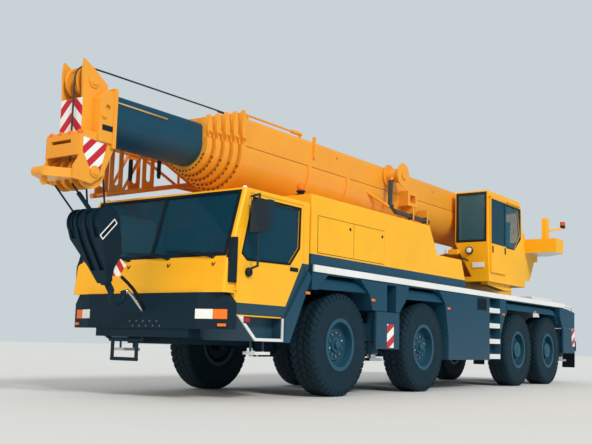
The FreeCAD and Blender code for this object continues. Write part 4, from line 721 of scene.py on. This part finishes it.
for way, side in SIDES:
    for lens, y0, y1, finish in (("head_lamp", 0.875, 1.078, lamp_white),
                                 ("indicator", 1.082, 1.246, lamp_amber)):
        plate_piece(f"{lens}_{side}", corner_outline(way, y0, y1, -0.001, -0.0145), "z", 0.934, 1.046,
                    finish, "carrier", bevel=0.004)
    bm = bmesh.new()
    add_plate(bm, corner_outline(way, 1.15, 1.24, 0.02, -0.01), "z", 0.852, 0.884)
    for x in SIDE_MARKERS:
        add_block(bm, x - 0.045, x + 0.045, way * 1.274, way * 1.290, 1.305, 1.340)
    add_block(bm, -7.33, -7.24, way * 1.239, way * 1.256, 1.430, 1.460)
    piece(f"amber_markers_{side}", bm, lamp_amber, "carrier", bevel=0.004)
    block_piece(f"red_step_marker_{side}", (2.03, 2.12, way * 1.249, way * 1.272, 0.915, 0.960), lamp_red,
                "carrier", bevel=0.004)
    turned_piece(f"roof_marker_{side}", (2.06, way * 1.16, 2.487), UPWARD, ROOF_MARKER, 16, lamp_white,
                 "carrier")
    turned_piece(f"beacon_foot_{side}", (0.59, way * 0.94, 2.633), UPWARD, BEACON_FOOT, 24, black_plastic,
                 "carrier", smooth=False)
    turned_piece(f"beacon_dome_{side}", (0.59, way * 0.94, 2.703), UPWARD, BEACON_DOME, 24, lamp_amber,
                 "carrier")

turned_piece("upper_lamp_shell", (-5.072, 0.829, 2.483), FORWARD, LAMP_SHELL, 32, black_plastic, "upper",
             smooth=False)
turned_piece("upper_lamp_glass", (-5.026, 0.829, 2.483), FORWARD, LAMP_GLASS, 32, lamp_white, "upper")
block_piece("work_lamp_box", (-5.055, -4.945, 0.455, 0.640, 2.405, 2.505), body_yellow, "upper", bevel=0.01)
block_piece("work_lamp_lens", (-5.045, -4.935, 0.375, 0.450, 2.425, 2.515), lamp_white, "upper", bevel=0.012)
LAMP_STAY = [(-5.0, 0.635, 2.43), (-5.0, 0.70, 2.345), (-5.085, 0.80, 2.30)]
pipe_piece("work_lamp_stay", LAMP_STAY, 0.012, 10, black_plastic, "upper")

# %% [markdown]
# The engine cover's side has two hinged service panels with a gap round them and a turn latch each.
# They are thin bevelled plates on a black backing that is painted shade in the gap, because a line drawn in
# paint would not catch the light.

# %% Cover panels, latches and side fittings
PANELS = ((-0.347, 0.549), (-1.206, -0.357))
LATCH = [(0.0, 0.022), (0.004, 0.024), (0.007, 0.018), (0.007, 0.0)]
VENT_SLAT = [(1.277, 1.372), (1.286, 1.366), (1.287, 1.369), (1.278, 1.380)]
HANDRAIL = [(-9.05, 1.665), (-9.60, 1.645), (-9.675, 1.60), (-9.675, 1.23), (-9.64, 1.20)]
MUD_FLAP = [(-9.852, 0.78), (-9.842, 0.78), (-9.832, 0.45), (-9.815, 0.33), (-9.825, 0.327), (-9.843, 0.45)]
for way, side in SIDES:
    # The black backing is painted shade in the gap round the panels.
    block_piece(f"cover_gap_shade_{side}", (-1.213, 0.556, way * 1.199, way * 1.2012, 1.867, 2.365), black_rubber_and_shade,
                "carrier")
    for number, (x0, x1) in enumerate(PANELS, 1):
        block_piece(f"cover_panel_{number}_{side}", (x0, x1, way * 1.2005, way * 1.205, 1.874, 2.358),
                    body_yellow, "carrier", bevel=0.003)
    bm = bmesh.new()
    for x in (-0.249, -1.144):
        add_turned(bm, (x, way * 1.204, 2.271), (0, way, 0), LATCH, 20)
        add_block(bm, x - 0.006, x + 0.006, way * 1.210, way * 1.216, 2.256, 2.286)
    piece(f"cover_latches_{side}", bm, black_plastic, "carrier")
    # A black sheet behind the slats is painted shade inside the vent.
    block_piece(f"vent_shade_back_{side}", (-4.793, -4.395, way * 1.2745, way * 1.2775, 1.36, 1.57), black_rubber_and_shade,
                "carrier")
    bm = bmesh.new()
    add_plate(bm, [(way * y, z) for y, z in VENT_SLAT], "x", -4.788, -4.400)
    repeated(f"vent_slats_{side}", bm, 9, frame_black, "carrier", step=(0.0, 0.0, 0.0225))
    pipe_piece(f"rear_handrail_{side}", [(x, way * 1.225, z) for x, z in HANDRAIL], 0.014, 12, rail_white,
               "carrier")
    plate_piece(f"mud_flap_{side}", MUD_FLAP, "y", way * 0.93, way * 1.21, black_rubber_and_shade, "carrier",
                bevel=0.002)
    bm = bmesh.new()
    for x in (-7.42, -8.03):
        add_block(bm, x - 0.58, x, way * 0.86, way * 1.14, 1.7005, 1.772)
    piece(f"deck_mats_{side}", bm, rail_white, "carrier", bevel=0.008)

# %% [markdown]
# The boom's two plates meet in a welded seam, its collars are held by rows of bolts, and each leaf has a
# screw stop. They lie along the boom's own curves, so the bolts turn about the middle of the belly's arc.

# %% Boom fittings
BOLT_HEAD = [(0.0, 0.013), (0.014, 0.013), (0.017, 0.008), (0.017, 0.0)]
LEAF_STOP = [(0.0, 0.034), (0.012, 0.034), (0.014, 0.022), (0.034, 0.022), (0.04, 0.012), (0.04, 0.0)]
SEAM_BOSSES = ((-1.05, 3.507, 0.016), (-4.31, 3.495, 0.016), (-3.46, 3.158, 0.03))
SEAM_Z = 3.250
COLLAR = 0.045
seam_dark = plain("weld_seam_shadow", "#8A4B14", 0.6)
# The collar bolts are coloured as the boom's orange darkened: painted shade, seen as dotted dark rings round
# the collars.
bolt_shade = plain("bolt_in_painted_shade", "#6E3212", 0.55, metallic=0.3)
bm = bmesh.new()
for way, _ in SIDES:
    add_block(bm, -8.30, 1.23, way * 0.4485, way * 0.4530, 3.246, 3.254)
    for x, z, r in SEAM_BOSSES:
        add_turned(bm, (x, way * 0.444, z), (0, way, 0), [(0.0, r), (0.008, r), (0.008, 0.0)], 16)
piece("boom_seams", bm, seam_dark, "boom")
for number, body in enumerate(("boom", "section_1", "section_2", "section_3", "section_4")):
    front = 1.330 + 0.130 * number
    wall = 0.450 - 0.036 * number
    half, belly = wall + COLLAR, 2.700 + 0.040 * number - COLLAR
    rise = SEAM_Z - belly
    arc = max(half, (half * half + rise * rise) / (2 * rise))
    middle = belly + arc
    reach, start = arc - 0.024, math.radians(-155)
    bm = bmesh.new()
    seat = (front - 0.002, reach * math.cos(start), middle + reach * math.sin(start))
    add_turned(bm, seat, FORWARD, BOLT_HEAD, 6)
    repeated(f"collar_bolts_{number}", bm, 14, bolt_shade, body, turn=(math.radians(10), 0.0, 0.0),
             centre=(front, 0.0, middle))
    bm = bmesh.new()
    for way, _ in SIDES:
        add_turned(bm, (front - 0.0475, way * (wall + 0.051 - 0.002), 3.335), (0, way, 0), LEAF_STOP, 20)
    piece(f"leaf_stops_{number}", bm, boom_yellow_in_shade, body)

HEAD_LAMP = [(0.0, 0.026), (0.034, 0.03), (0.044, 0.022), (0.046, 0.0)]
# The rope comes up from the nose, over the head sheave and back along the boom, and runs on to the winch.
SHEAVE_X, SHEAVE_Z, ROPE_PATH_R, ROPE_R = 3.600, 3.540, 0.1865, 0.011
over_sheave = [(SHEAVE_X + ROPE_PATH_R * math.cos(t), 0.07, SHEAVE_Z + ROPE_PATH_R * math.sin(t))
               for t in (math.radians(11.25 * k) for k in range(9))]
to_head = [(3.7865, 0.07, 2.60), *over_sheave, (3.30, 0.07, 3.732), (1.5, 0.07, 3.748), (-7.4, 0.07, 3.748)]
pipe_piece("hoist_rope_to_head", to_head, ROPE_R, 8, rope_steel, "section_5")
to_winch = [(1.30, 0.04, 3.748), (-8.18, 0.04, 3.748), (-8.30, 0.04, 3.70)]
pipe_piece("hoist_rope_to_winch", to_winch, ROPE_R, 8, rope_steel, "boom")
pale_tube = plain("pale_plastic_tube", "#C9A86A", 0.5)
pipe_piece("pale_boom_rod", [(3.33, 0.275, 3.348), (2.50, 0.275, 3.340)], 0.011, 8, pale_tube, "section_5")
block_piece("head_switch_box", (3.375, 3.553, 0.299, 0.306, 2.982, 3.045), black_plastic, "section_5",
            bevel=0.004)
bm = bmesh.new()
add_turned(bm, (3.80, -0.21, 2.915), (0.94, 0, -0.34), HEAD_LAMP, 16)
repeated("head_lamps", bm, 4, lamp_amber, "section_5", step=(0.0, 0.155, 0.0))
SHAFT_CAPS = [
    ((3.537, 0.299, 3.151), 20, [(0.0, 0.045), (0.012, 0.045), (0.012, 0.03), (0.026, 0.03), (0.026, 0.0)]),
    ((3.60, 0.179, 3.54), 24, [(0.0, 0.075), (0.016, 0.075), (0.016, 0.05), (0.03, 0.045), (0.03, 0.0)]),
    ((3.61, 0.279, 2.50), 24, [(0.0, 0.065), (0.014, 0.065), (0.014, 0.045), (0.026, 0.04), (0.026, 0.0)]),
]
bm = bmesh.new()
for centre, sides, profile in SHAFT_CAPS:
    add_turned(bm, centre, LEFTWARD, profile, sides)
piece("head_shaft_caps", bm, boom_yellow_in_shade, "section_5", bevel=0.002)
bm = bmesh.new()
for x, foot, top in ((2.223, 2.70, 2.98), (1.707, 2.82, 3.08)):
    tall = top - foot
    latch = [(0.0, 0.02), (0.04, 0.028), (tall - 0.04, 0.028), (tall, 0.02)]
    add_turned(bm, (x, -0.60, foot), UPWARD, latch, 14)
piece("jib_latches", bm, black_plastic, "boom")

# %% [markdown]
# The hook block hangs in its ropes and is lashed to the bumper by a shackle and a strap, so that it can't
# swing on the road. The white-edged plate on its cheek is the sheave guard's window.

# %% Hook block fittings
SLOT = [(3.452, 1.812), (3.262, 2.005), (3.232, 1.975), (3.422, 1.782)]
STRAP = [(2.90, 0.045, 1.40), (2.80, 0.05, 1.335), (2.72, 0.06, 1.27), (2.64, 0.09, 1.16),
         (2.585, 0.12, 1.03)]
SHACKLE = [(2.80, 0.0, 1.235), (2.765, 0.01, 1.25), (2.71, 0.03, 1.20), (2.64, 0.08, 1.09),
           (2.60, 0.11, 1.02)]
BUMPER_BOLT = [(0.0, 0.013), (0.008, 0.013), (0.011, 0.008), (0.011, 0.0)]
bm = bmesh.new()
add_frame(bm, SLOT, "y", 0.260, 0.268, 0.012)
piece("hook_window_edge", bm, rail_white, "hook", bevel=0.002)
# The black plate that fills the window is painted shade inside it.
plate_piece("hook_window", SLOT, "y", 0.261, 0.264, black_rubber_and_shade, "hook")
pipe_piece("hook_strap", STRAP, 0.02, 10, black_rubber_and_shade, "hook")
pipe_piece("hook_shackle", SHACKLE, 0.017, 12, chrome, "hook")
bm = bmesh.new()
for y, z in ((-0.16, 0.905), (-0.11, 0.850)):
    add_turned(bm, (2.529, y, z), FORWARD, BUMPER_BOLT, 6)
repeated("bumper_bolts", bm, 5, nut_steel, "carrier", step=(0.0, 0.11, 0.0))

# %% [markdown]
# The upper cab has handles for its sliding door, a bare pale plate under its lamp, and a step bracket below.

# %% Upper cab fittings
BRACKET = [(-6.36, 1.80), (-6.30, 1.912), (-5.20, 1.912), (-5.22, 1.86), (-6.0, 1.79)]
BARE_PLATE = [(0.875, 2.165), (1.105, 2.165), (1.105, 2.262), (0.875, 2.262)]
bm = bmesh.new()
for x, z in ((-5.20, 2.506), (-5.79, 2.523)):
    add_block(bm, x - 0.018, x + 0.018, 1.2245, 1.238, z - 0.06, z + 0.06)
piece("upper_door_handles", bm, black_plastic, "operator_door", bevel=0.004)
plate_piece("upper_blank_plate", BARE_PLATE, "x", -5.09, -5.072, rail_white, "upper", bevel=0.003)
plate_piece("upper_step_bracket", BRACKET, "y", 0.98, 1.12, body_yellow, "upper", bevel=0.006)

# %% [markdown]
# The floor is plain and pale and runs on behind as the backdrop. It is a stage piece, not part of the crane.
# The sky lights the crane, and paint and glass mirror a bluer and darker one, as on the open road.

# %% Floor and light
FLOOR_REACH = 150.0
pale, tree, place = empty_material("pale_floor")
tone = spread(tree, noise(tree, place, 0.6, 3.0), 0.0, 1.0, 0.97, 1.0)
surface(tree, {"Base Color": scaled(tree, one_colour(tree, "#D9DCDD"), tone), "Roughness": 0.9})
floor_mesh = bpy.data.meshes.new("studio_floor")
corners = [(a * FLOOR_REACH, b * FLOOR_REACH, 0) for a, b in ((-1, -1), (1, -1), (1, 1), (-1, 1))]
floor_mesh.from_pydata(corners, [], [(0, 1, 2, 3)])
floor_mesh.materials.append(pale)
floor = bpy.data.objects.new("studio_floor", floor_mesh)
bpy.context.scene.collection.objects.link(floor)

world = bpy.data.worlds.new("studio")
bpy.context.scene.world = world
world.use_nodes = True
sky = world.node_tree
sky.nodes.clear()


def background(code, strength):
    """A sky of one colour."""
    return add_node(sky, "ShaderNodeBackground", {"Color": linear(code), "Strength": strength}).outputs[0]


ray = add_node(sky, "ShaderNodeLightPath").outputs
seen = sums(sky, "MAXIMUM", ray["Is Camera Ray"], ray["Is Transmission Ray"])
lit = add_node(sky, "ShaderNodeMixShader", {
    0: ray["Is Glossy Ray"], 1: background("#E4EAEC", 0.85), 2: background("#8FB4C4", 0.5)})
shown = add_node(sky, "ShaderNodeMixShader", {0: seen, 1: lit.outputs[0], 2: background("#C9D2D7", 1.0)})
add_node(sky, "ShaderNodeOutputWorld", {"Surface": shown.outputs[0]})


def soft_sun(name, direction, strength, width, colour):
    """A broad sun lamp that shines along a direction, its width in degrees."""
    lamp = bpy.data.lights.new(name, "SUN")
    lamp.energy = strength
    lamp.angle = math.radians(width)
    lamp.color = linear(colour)[:3]
    thing = bpy.data.objects.new(name, lamp)
    bpy.context.scene.collection.objects.link(thing)
    thing.rotation_euler = Vector(direction).to_track_quat("-Z", "Y").to_euler()


soft_sun("key_light", (-0.35, -0.75, -0.6), 2.0, 12, "#FFF6EA")
soft_sun("front_fill", (-0.9, 0.1, -0.35), 0.6, 40, "#FFC080")
bpy.context.scene.view_settings.view_transform = "Standard"
